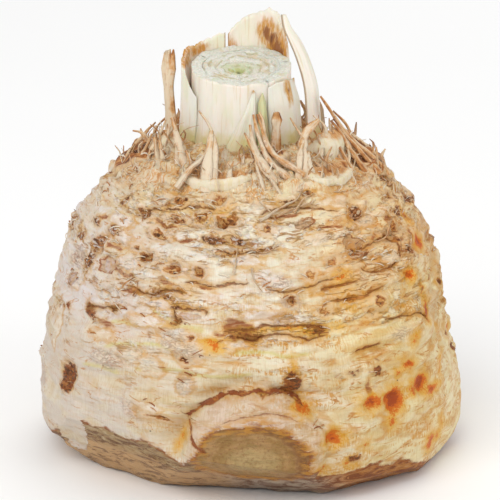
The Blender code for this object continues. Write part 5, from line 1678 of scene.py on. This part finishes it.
def scatter_tree():
    """Scatters a small shape over a mesh where its weight field allows, laid along the skin."""
    g = Growth("celeriac_scatter", (
        ("Weight", "String", ""), ("Density", "Float", 1.0), ("Seed", "Int", 1), ("Shape", "Object", None),
        ("Smallest", "Float", 0.5), ("Largest", "Float", 1.0), ("Lift", "Float", 0.0),
        ("Tilt", "Float", 0.3), ("Lean", "Float", 0.0), ("Palest", "Float", 0.0),
        ("Material", "Material", None)))
    given = g.given
    weight = g.named(given["Weight"])
    spread = g.add("GeometryNodeDistributePointsOnFaces", {
        "Mesh": given["Geometry"], "Density": g.math("MULTIPLY", weight, given["Density"]),
        "Seed": given["Seed"]}).node
    normal = spread.outputs["Normal"]
    upright = g.add("FunctionNodeAlignRotationToVector", {"Vector": normal}, axis="Z")
    level = g.add("ShaderNodeVectorMath", {0: (0, 0, 1), 1: normal}, operation="CROSS_PRODUCT")
    facing = g.add("FunctionNodeAlignRotationToVector", {"Rotation": upright, "Vector": level},
                   axis="X", pivot_axis="Z")
    for axis, name, seed in (((0, 0, 1), "Tilt", 0), ((1, 0, 0), "Lean", 2), ((0, 1, 0), "Lean", 3)):
        least = g.math("MULTIPLY", given[name], -1.0)
        angle = g.random(least, given[name], seed)
        turn = g.add("FunctionNodeAxisAngleToRotation", {"Axis": axis, "Angle": angle})
        facing = g.add("FunctionNodeRotateRotation", {0: facing, 1: turn}, rotation_space="LOCAL")
    long, wide, high = (g.random(given["Smallest"], given["Largest"], seed) for seed in (4, 5, 6))
    scale = g.vector(X=long, Y=wide, Z=high)
    shape = g.add("GeometryNodeObjectInfo", {"Object": given["Shape"]}, "Geometry")
    sprinkled = g.add("GeometryNodeInstanceOnPoints", {
        "Points": spread.outputs["Points"], "Instance": shape, "Rotation": facing, "Scale": scale})
    raised = g.add("ShaderNodeVectorMath", {0: (0, 0, 1), "Scale": given["Lift"]}, operation="SCALE")
    sprinkled = g.add("GeometryNodeTranslateInstances", {
        "Instances": sprinkled, "Translation": raised, "Local Space": True})
    tone = g.vector(X=g.random(given["Palest"], DARKEST_FLAKE, 8))
    sprinkled = g.store(sprinkled, "tone", "FLOAT_VECTOR", tone, "INSTANCE")
    return g.close(sprinkled)


def stem(name, outer, inner, across, along, tint, material, is_cut=False):
    """A closed stem between two grids of points, [row][column], with a top that closes over its middle."""
    outer, inner, along, tint = (np.array(values) for values in (outer, inner, along, tint))
    rows, columns = outer.shape[:2]
    walls = np.concatenate([outer, inner[:, ::-1]], 1)
    if is_cut:
        walls[-1, :, 2] = cut_height(walls[-1]) + cut_relief(walls[-1])
    spine = (outer[-1] + inner[-1]) / 2
    spine = np.concatenate([spine, spine[::-1]])
    caps = []
    for share in CAP_SHARES:
        cap = walls[-1] * (1 - share) + spine * share
        if is_cut:
            cap[:, 2] = cut_height(cap) + cut_relief(cap)
        caps.append(cap)
    loops = np.concatenate([walls, np.array(caps)])
    count = 2 * columns
    total = len(loops)
    around = np.concatenate([across, across[::-1] + FACE_SHIFT])
    heights = np.concatenate([along, np.repeat(along[-1:], len(caps), 0)])
    heights = np.concatenate([heights, heights[:, ::-1]], 1)
    cap = np.concatenate([np.zeros(rows), np.full(len(caps), float(is_cut))])
    fibre = np.stack([np.broadcast_to(around, (total, count)), heights,
                      np.broadcast_to(cap[:, None], (total, count))], -1)
    tints = np.concatenate([tint, np.repeat(tint[-1:], len(caps), 0)])
    tints = np.concatenate([tints, tints[:, ::-1]], 1)
    faces = band_faces(0, total - 1, count).tolist()
    for low, turn in ((0, -1), ((total - 1) * count, 1)):
        for a in range(columns - 1):
            faces.append(tuple(low + b for b in (a, a + 1, count - 2 - a, count - 1 - a))[::turn])
    fields = {"fibre": fibre.reshape(-1, 3), "tint": tints.reshape(-1, 3)}
    return new_piece(name, loops.reshape(-1, 3), faces, fields, material)


def cut_height(points):
    """Height of the cut across the bundle over these points."""
    return STALK_CUT + STALK_CUT_SLOPE * points[..., 1]


def cut_relief(points):
    """How uneven the cut across the bundle is over these points."""
    return layered(points * (1, 1, 0), CUT_LAYERS)


def stain_distance(share, height, half_width, stains):
    """Distance in mm from the nearest brown stain of a stalk, negative inside it. A stain's last value,
    if given, is the least distance inside it, which keeps its middle pale."""
    nearest = np.full(np.broadcast(share, height).shape, MARK_FAR)
    for at, level, wide, tall, *least in stains:
        away = np.hypot((share - at) * half_width / wide, (height - level) / tall)
        distance = (away - 1) * math.sqrt(wide * tall)
        nearest = np.minimum(nearest, np.maximum(distance, least[0]) if least else distance)
    return nearest


class CeleriacCrownSizes(bpy.types.PropertyGroup):
    rib: bpy.props.FloatProperty(
        name="Rib height", description="Height of the ribs along the leaf stalks",
        default=0.32 * MM, min=0, subtype="DISTANCE", unit="LENGTH")
    white: bpy.props.FloatVectorProperty(
        name="Stalk white", description="Colour of the fresh stalks between their veins",
        default=shade("EAE2D5"), size=3, min=0, max=1, subtype="COLOR")
    tan: bpy.props.FloatVectorProperty(
        name="Stalk tan", description="Colour of the broad stripes along the stalks",
        default=shade("E2D6C2"), size=3, min=0, max=1, subtype="COLOR")
    husk_pale: bpy.props.FloatVectorProperty(
        name="Husk pale", description="Lightest colour of the dry husks and fibres",
        default=shade("E0D2BC"), size=3, min=0, max=1, subtype="COLOR")
    husk_tan: bpy.props.FloatVectorProperty(
        name="Husk tan", description="Middle colour of the dry husks and fibres",
        default=shade("D2A26A"), size=3, min=0, max=1, subtype="COLOR")
    husk_brown: bpy.props.FloatVectorProperty(
        name="Husk brown", description="Darkest common colour of the dry husks and fibres",
        default=shade("A0642E"), size=3, min=0, max=1, subtype="COLOR")
    flatness: bpy.props.FloatProperty(
        name="Strand flatness", description="Thickness of a fibre as a share of its width",
        default=0.5, min=0.1, max=1, subtype="FACTOR")


class CELERIAC_OT_heart(bpy.types.Operator):
    """Build the youngest stalks in the middle of the bundle, cut across"""

    bl_idname = "celeriac.heart"
    bl_label = "Heart"

    def execute(self, context):
        azimuths = np.arange(HEART_SIDES) * 360 / HEART_SIDES
        everywhere = np.ones(HEART_SIDES)
        centre = np.array([BUNDLE_X, 0.0, 0.0])
        hole = centre + (*HEART_HOLE, 0)
        rim = centre + direction(azimuths) * HEART_RADIUS
        top = cut_height(rim)
        points, fields = [], []
        for level in np.linspace(0, 1, HEART_WALL, endpoint=False):
            ring = rim.copy()
            ring[:, 2] = STALK_FOOT + level * (top - 0.2 - STALK_FOOT)
            points.append(ring)
            fields.append(np.stack([azimuths, everywhere, HEART_RADIUS * everywhere], 1))
        for share in np.linspace(1, 0.02, HEART_LAYERS):
            ring = hole + (rim - hole) * share
            layer = share * HEART_RADIUS + HEART_PITCH * azimuths / 360
            bent = layer + 1.1 * roughness(ring * (1, 1, 0), *SEAM_BEND)
            seam = np.abs(bent / HEART_PITCH - np.round(bent / HEART_PITCH)) * HEART_PITCH
            broken = step(roughness(ring * (1, 1, 0), *SEAM_BREAKS), -0.25, 0.15)
            sunk = 0.5 * (1 - share) ** 2 + HEART_HOLE_DEPTH * math.exp(-((share / HEART_HOLE_SHARE) ** 2))
            sunk = sunk + 0.5 * broken * np.exp(-((seam / SEAM_WIDTH) ** 2))
            ring[:, 2] = cut_height(ring) + cut_relief(ring) - sunk
            points.append(ring)
            fields.append(np.stack([azimuths, share * everywhere, layer], 1))
        points = np.vstack(points)
        faces = band_faces(0, HEART_WALL + HEART_LAYERS - 1, HEART_SIDES).tolist()
        faces.append(tuple(range(len(points) - HEART_SIDES, len(points))))
        faces.append(tuple(range(HEART_SIDES))[::-1])
        heart = new_piece("celeriac_heart", points, faces, {"rings": np.vstack(fields)}, paint_heart())
        stand_for(heart, "heart_stalks")
        return {"FINISHED"}


class CELERIAC_OT_sheaths(bpy.types.Operator):
    """Build the stalks that wrap round the bundle, cut or torn at their tops"""

    bl_idname = "celeriac.sheaths"
    bl_label = "Wrapping stalks"

    def execute(self, context):
        sizes = context.scene.celeriac_crown
        flesh = paint_flesh("celeriac_flesh", tuple(sizes.white), tuple(sizes.tan))
        for index, row in enumerate(SHEATHS):
            self.wrap(row, index, sizes.rib / MM, flesh)
        return {"FINISHED"}

    @staticmethod
    def wrap(row, index, rib, flesh):
        name, azimuths, radii, tops, bevel, edge, turn, narrowing, torn, stains = row
        middle, half = sum(azimuths) / 2, (azimuths[1] - azimuths[0]) / 2
        half_width = math.radians(half) * radii[1]
        columns = max(15, round(2 * half_width / STALK_GRAIN))
        share = np.linspace(-1, 1, columns)
        body = edge + (1 - edge) * (1 - np.abs(share) ** 3) ** (0.5 if tops is None else 0.95)
        centre = np.array([BUNDLE_X, 0.0, 0.0])
        flare = FLARE if radii[0] > INNER_RING[1] else 0.0
        behind = FACING_BACK[0] < middle < FACING_BACK[1]
        seed = (0, 0, SHEATH_SHIFT * index)
        across = share * half_width
        jag = torn * layered(on_sheet(across, offset=seed), TEAR_LAYERS)
        outer, inner, along, tints = [], [], [], []
        for level in np.linspace(0, 1, SHEATH_ROWS):
            turned = direction(middle + turn * level + share * half * (1 - narrowing * level))
            spread = (1 - level) ** FLARE_POWER
            ribs = rib * layered(on_sheet(across, STALK_LENGTH * level * RIB_STRETCH, seed), RIB_LAYERS)
            ribs *= 1 - share**6
            thick = (radii[1] - radii[0]) * body
            thinned = thick * (0 if tops is None else TORN_THINNING) * step(level, 0.7, 1.0)
            far = radii[0] + thick + FLARE * spread + ribs - (0 if behind else thinned)
            near = radii[0] + flare * spread + (thinned if behind else 0)
            for grid, reach, drop in ((outer, far, 0.0), (inner, near, bevel)):
                points = centre + turned * np.broadcast_to(reach, columns)[:, None]
                top = cut_height(points)
                if tops is not None:
                    top = np.interp(share, np.linspace(-1, 1, len(tops)), tops) + jag
                points[:, 2] = STALK_FOOT + level * (top - drop - STALK_FOOT)
                grid.append(points)
            height = outer[-1][:, 2]
            along.append(height - STALK_FOOT)
            stain = stain_distance(share, height, half_width, stains)
            green = np.full(columns, BUD_GREENNESS if name == "side_bud" else 0.0)
            side = np.full(columns, MARK_FAR)
            if behind and tops is not None:
                side = (1 - np.abs(share)) * half_width + step(-height, -112.0, -108.0)
            tints.append(np.stack([stain, green, side], -1))
        piece = stem("celeriac_" + name, outer, inner, across + FIBRE_SHIFT * index, along,
                     tints, flesh, tops is None)
        stand_for(piece, name)


class CELERIAC_OT_stalks(bpy.types.Operator):
    """Build the stalks that stand outside the bundle: the tall one, the dry one and the dried bud"""

    bl_idname = "celeriac.stalks"
    bl_label = "Outer stalks"

    def execute(self, context):
        sizes = context.scene.celeriac_crown
        flesh = paint_flesh("celeriac_pale_stalk", tuple(sizes.white), tuple(sizes.white))
        dry = paint_husk("celeriac_dry_stalk", tuple(sizes.husk_pale), tuple(sizes.husk_tan),
                         tuple(sizes.husk_brown))
        for index, row in enumerate(STALKS):
            self.stand(row, index, sizes.rib / MM, flesh if row[0] == "stalk_right" else dry)
        return {"FINISHED"}

    @staticmethod
    def stand(row, index, rib, material):
        name, path, widths, thickness, azimuth, hollow, torn, brown = row
        line = smooth_line(path, STALK_STEPS)
        level = np.linspace(0, 1, len(line))
        width = np.interp(level, np.linspace(0, 1, len(widths)), widths)
        share = np.linspace(-1, 1, max(11, round(max(widths) / STALK_GRAIN * 2.2)))
        out, aside = toward(azimuth), toward(azimuth + 90)
        seed = (0, 0, STALK_SHIFT * index + 5)
        jag = torn * roughness(on_sheet(share * widths[-2], offset=seed), *STALK_TEAR)
        outer, inner, along, tints = [], [], [], []
        for centre, wide, at in zip(line, width, level):
            bow = (1 - share**2)[:, None]
            spine = centre + share[:, None] * wide / 2 * aside
            spine[:, 2] += jag * step(at, 0.72, 1.0)
            body = thickness * (STALK_EDGE + (1 - STALK_EDGE) * bow)
            ribs = rib * layered(on_sheet(share * wide / 2, at * 3, seed), STALK_RIBS) * (1 - share**4)
            outer.append(spine + out * (bow * hollow + body / 2 + ribs[:, None]))
            inner.append(spine + out * (bow * hollow - body / 2 + ribs[:, None]))
            along.append(np.full(len(share), centre[2] - STALK_FOOT))
            side = (1 + share) * wide / 2
            if material.name == "celeriac_pale_stalk":
                tints.append(np.stack([0 * share + MARK_FAR, 0 * share, side * 2.4 + 0.3], -1))
            else:
                browned = brown + 0.36 * step(share, 0.2, 0.8) + 0.22 * step(at, 0.78, 1.0)
                tints.append(np.stack([browned, 0 * share, 0 * share], -1))
        piece = stem("celeriac_" + name, outer, inner, share * max(widths) / 2, along, tints, material)
        stand_for(piece, name)


class CELERIAC_OT_leaf_bases(bpy.types.Operator):
    """Build the torn feet of old leaves on the shoulder, with the fibres that stand out of them"""

    bl_idname = "celeriac.leaf_bases"
    bl_label = "Leaf bases and fibres"

    def execute(self, context):
        sizes = context.scene.celeriac_crown
        husk = paint_husk("celeriac_husk", tuple(sizes.husk_pale), tuple(sizes.husk_tan),
                          tuple(sizes.husk_brown))
        strands = strand_tree()
        for row in LEAF_BASES:
            mesh = self.torn_foot(row)
            inputs = {"Flatness": sizes.flatness, "Material": husk}
            piece = grow("celeriac_" + row[0], mesh, strands, inputs)
            stand_for(piece, row[0])
        return {"FINISHED"}

    @staticmethod
    def torn_foot(row):
        """A ragged crescent that hugs the skin, and loose lines for the strands."""
        _, azimuths, runs, rises, seed, brown, strands = row
        draw = random.Random(seed)
        share = np.linspace(-1, 1, LEAF_BASE_COLUMNS)
        azimuth = sum(azimuths) / 2 + share * (azimuths[1] - azimuths[0]) / 2
        width = math.radians(azimuths[1] - azimuths[0]) * SHOULDER_RADIUS / 2
        across = share * width
        offset = (0, 0, LEAF_BASE_SHIFT * seed)
        teeth = on_sheet(across, offset=offset)
        end_runs = runs[0] + (runs[1] - runs[0]) * (1 - CRESCENT * np.abs(share) ** 2.6)
        end_runs += layered(teeth, RAGGED_LAYERS) * (1 - share**4)
        start_runs = runs[0] + 0.6 * roughness(teeth, *ROOT_LINE_NOISE)
        top, under, along = [], [], []
        for level in np.linspace(0, 1, LEAF_BASE_ROWS):
            run = start_runs + level * (end_runs - start_runs)
            rise = np.interp(level, np.linspace(0, 1, len(rises)), rises) * (1 - SIDE_FALL * share**2)
            rise = rise * (1 - 0.9 * share**6) * (1 - 0.85 * step(level, RIM_START, 1.0))
            lumps = on_sheet(across, run, offset)
            shaggy = 0.3 * roughness(on_sheet(across, run * 0.12, offset), *SHAGGY_FIBRES)
            shaggy = shaggy + layered(lumps, SHAGGY_LAYERS)
            rise = rise + (0.06 + 0.94 * step(-level, -0.72, -0.45)) * shaggy
            rise = rise + 0.35 * roughness(lumps, *BROAD_LUMPS)
            top.append(skin(azimuth, run, rise))
            under.append(skin(azimuth, run, -SUNK))
            along.append(level * (end_runs - start_runs))
        outer, inner = np.array(top[::-1]), np.array(under[::-1])
        depth = np.array(along)
        rim = step(-depth, -3.0, -1.6) * (1 - brown)
        tint = np.stack([brown + 0.25 - 0.6 * rim, 0 * depth, rim], -1)
        foot = stem("torn_foot", outer, inner, across, depth, tint, None)
        mesh = foot.data
        bpy.data.objects.remove(foot)
        base_count = len(mesh.vertices)

        lines = []
        for thickness, *path in strands:
            steps = max(3, STRAND_STEPS // (len(path) - 1))
            lines.append((1.15 * thickness, brown * draw.uniform(0.3, 0.8), smooth_line(path, steps)))
        for _ in range(FINE_STRANDS):
            at = draw.uniform(-0.9, 0.9)
            column = min(LEAF_BASE_COLUMNS - 1, int((at + 1) / 2 * LEAF_BASE_COLUMNS))
            root = outer[draw.randrange(4, LEAF_BASE_ROWS - 2)][column]
            tall = draw.uniform(*STRAND_HEIGHTS)
            lean, curl = (np.array([draw.uniform(-most, most), draw.uniform(-most, most), 0])
                          for most in (STRAND_LEAN, STRAND_CURL))
            inward = -root * (0.1, 0.1, 0) * draw.uniform(0, 1)
            path = (root - (0, 0, SUNK), root + (0, 0, tall * 0.5) + lean * 0.5 + inward * 0.4,
                    root + (0, 0, tall) + lean + curl + inward)
            thickness, dark = draw.uniform(*STRAND_WIDTHS), draw.uniform(0, 0.7) * (0.4 + brown)
            lines.append((thickness, dark, smooth_line(path, LINE_STEPS)))
        add_lines(mesh, base_count, lines)
        return mesh


class CeleriacShredSizes(bpy.types.PropertyGroup):
    flakes: bpy.props.FloatProperty(
        name="Flakes", description="Most flakes on a square metre of rough skin", default=120000, min=0)
    flake: bpy.props.FloatProperty(
        name="Flake length", description="Length of a common flake",
        default=2.2 * MM, min=0, subtype="DISTANCE", unit="LENGTH")
    crumbs: bpy.props.FloatProperty(
        name="Crumbs", description="Most crumbs on a square metre of a scab", default=500000, min=0)
    crumb: bpy.props.FloatProperty(
        name="Crumb size", description="Width of a common crumb",
        default=0.42 * MM, min=0, subtype="DISTANCE", unit="LENGTH")
    tufts: bpy.props.FloatProperty(
        name="Tufts", description="Most standing fibres on a square metre of the crown",
        default=120000, min=0)
    tuft: bpy.props.FloatProperty(
        name="Tuft length", description="Length of a common standing fibre",
        default=3.0 * MM, min=0, subtype="DISTANCE", unit="LENGTH")


class CELERIAC_OT_shreds(bpy.types.Operator):
    """Scatter flakes over the rough skin, crumbs over the scabs, and lay loose fibres on them"""

    bl_idname = "celeriac.shreds"
    bl_label = "Flakes, crumbs and loose fibres"

    def execute(self, context):
        sizes = context.scene.celeriac_shreds
        root = bpy.data.objects["celeriac_root"].data
        paint = paint_crumbs()
        scatter = scatter_tree()
        flake = self.shard("flake_shape", *FLAKE_SHAPE)
        crumb = self.shard("crumb_shape", *CRUMB_SHAPE)
        tuft = self.shard("tuft_shape", *TUFT_SHAPE, standing=True)
        smallest, largest = SHRED_SIZES
        for seed, (name, weight, density, shape, size, lift, tilt, lean, palest) in enumerate((
                ("flakes", "flaky", sizes.flakes, flake, sizes.flake, 0.1, 0.6, 0.15, 0.28),
                ("crumbs", "crumbly", sizes.crumbs, crumb, sizes.crumb, 0.05, 3.1, 0.4, 0.62),
                ("tufts", "tufty", sizes.tufts, tuft, sizes.tuft, -0.3, 3.1, 0.85, 0.1)), SHRED_SEED):
            piece = grow("celeriac_" + name, root.copy(), scatter, {
                "Weight": weight, "Density": density, "Seed": seed, "Shape": shape,
                "Smallest": smallest * size, "Largest": largest * size, "Lift": lift * MM, "Tilt": tilt,
                "Lean": lean, "Palest": palest, "Material": paint})
            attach(piece, "root")
        for shape in (flake, crumb, tuft):
            bpy.data.objects.remove(shape)

        seed, count, courses, wander, widths, browns = FIBRES_BEHIND
        draw = random.Random(seed)
        rows = list(FIBRES)
        for _ in range(count):
            azimuth, height, turn, climb = (draw.uniform(*ends) for ends in courses)
            path = [(azimuth + turn * at, height + climb * at + draw.uniform(*wander)) for at in (0, 0.5, 1)]
            rows.append((draw.uniform(*widths), draw.uniform(*browns), *path))
        lines = []
        for thickness, brown, *path in rows:
            azimuths, heights = smooth_line(path, FIBRE_STEPS).T
            lift = FIBRE_LIFT + np.abs(layered(on_sheet(azimuths, heights), (FIBRE_WAVE,)))
            lines.append((thickness, brown, skin(azimuths, run_at(heights), lift)))
        mesh = bpy.data.meshes.new("loose_fibres")
        add_lines(mesh, 0, lines)
        dry = bpy.data.materials["celeriac_husk"]
        inputs = {"Flatness": 0.6, "Sides": 6, "Material": dry}
        fibres = grow("celeriac_loose_fibres", mesh, strand_tree(), inputs)
        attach(fibres, "root")
        return {"FINISHED"}

    @staticmethod
    def shard(name, steps, wide, thick, bend, standing=False):
        """A small closed shard, 1 long, with a curved and tapered body, for scattering."""
        points, faces = [], []
        for at in range(steps):
            level = at / (steps - 1)
            half = wide / 2 * (0.35 + 0.65 * math.sin(math.pi * (0.15 + 0.7 * level)))
            middle = (level - 0.5, bend * math.sin(3 * level), 1.2 * bend * math.sin(math.pi * level))
            points += [(middle[0], middle[1] + half * a, middle[2] + thick / 2 * b)
                       for a, b in ((1, -1), (1, 1), (-1, 1), (-1, -1))]
        for at in range(steps - 1):
            low = 4 * at
            faces += [(low + a, low + 4 + a, low + 4 + (a + 1) % 4, low + (a + 1) % 4) for a in range(4)]
        last = 4 * (steps - 1)
        faces += [(0, 1, 2, 3), (last + 3, last + 2, last + 1, last)]
        if standing:
            points = [(z, y, x + 0.5) for x, y, z in points]
            faces = [face[::-1] for face in faces]
        mesh = bpy.data.meshes.new(name)
        mesh.from_pydata(points, [], faces)
        shape = bpy.data.objects.new(name, mesh)
        bpy.context.scene.collection.objects.link(shape)
        return shape


def add_lines(mesh, base_count, lines):
    """Adds loose lines to a mesh: (thickness in mm, how brown, points in mm)."""
    total = sum(len(line) for _, _, line in lines)
    mesh.vertices.add(total)
    mesh.edges.add(total - len(lines))
    thick = mesh.attributes.get("thickness") or mesh.attributes.new("thickness", "FLOAT", "POINT")
    tint = mesh.attributes.get("tint") or mesh.attributes.new("tint", "FLOAT_VECTOR", "POINT")
    at, edge = base_count, len(mesh.edges) - (total - len(lines))
    for thickness, brown, line in lines:
        count = len(line)
        for index, point in enumerate(line):
            level = index / (count - 1)
            mesh.vertices[at + index].co = (np.array(point) - MIDDLE) * MM
            wide = 1 + STRAND_FOOT * (1 - level) ** 3 - STRAND_TAPER * level**2
            wide *= 1 + STRAND_KNOTS * noise.noise(Vector(point) / 2.0)
            thick.data[at + index].value = thickness * MM * wide
            tint.data[at + index].vector = (brown + 0.4 * level**3, 0.35 * level**6, 0)
            if index:
                mesh.edges[edge].vertices = (at + index - 1, at + index)
                edge += 1
        at += count


PIECES = (
    CELERIAC_OT_root, CELERIAC_OT_heart, CELERIAC_OT_sheaths, CELERIAC_OT_stalks, CELERIAC_OT_leaf_bases,
    CELERIAC_OT_shreds, CELERIAC_OT_studio,
)
SETTINGS = (
    ("celeriac_root", CeleriacRootSizes),
    ("celeriac_crown", CeleriacCrownSizes),
    ("celeriac_shreds", CeleriacShredSizes),
    ("celeriac_studio", CeleriacStudioSizes),
)


class CELERIAC_PT_build(bpy.types.Panel):
    """Sizes and building steps of the celeriac"""

    bl_idname = "CELERIAC_PT_build"
    bl_label = "Celeriac"
    bl_space_type = "VIEW_3D"
    bl_region_type = "UI"
    bl_category = "Celeriac"

    def draw(self, context):
        for name, group in SETTINGS:
            box = self.layout.box()
            for field in group.__annotations__:
                box.prop(getattr(context.scene, name), field)
        for piece in PIECES:
            self.layout.operator(piece.bl_idname)


def register():
    for name, group in SETTINGS:
        bpy.utils.register_class(group)
        setattr(bpy.types.Scene, name, bpy.props.PointerProperty(type=group))
    for piece in (*PIECES, CELERIAC_PT_build):
        bpy.utils.register_class(piece)


def unregister():
    for piece in (CELERIAC_PT_build, *reversed(PIECES)):
        bpy.utils.unregister_class(piece)
    for name, group in reversed(SETTINGS):
        delattr(bpy.types.Scene, name)
        bpy.utils.unregister_class(group)


def main():
    register()
    for piece in PIECES:
        family, _, action = piece.bl_idname.partition(".")
        getattr(getattr(bpy.ops, family), action)()


if __name__ == "__main__":
    main()
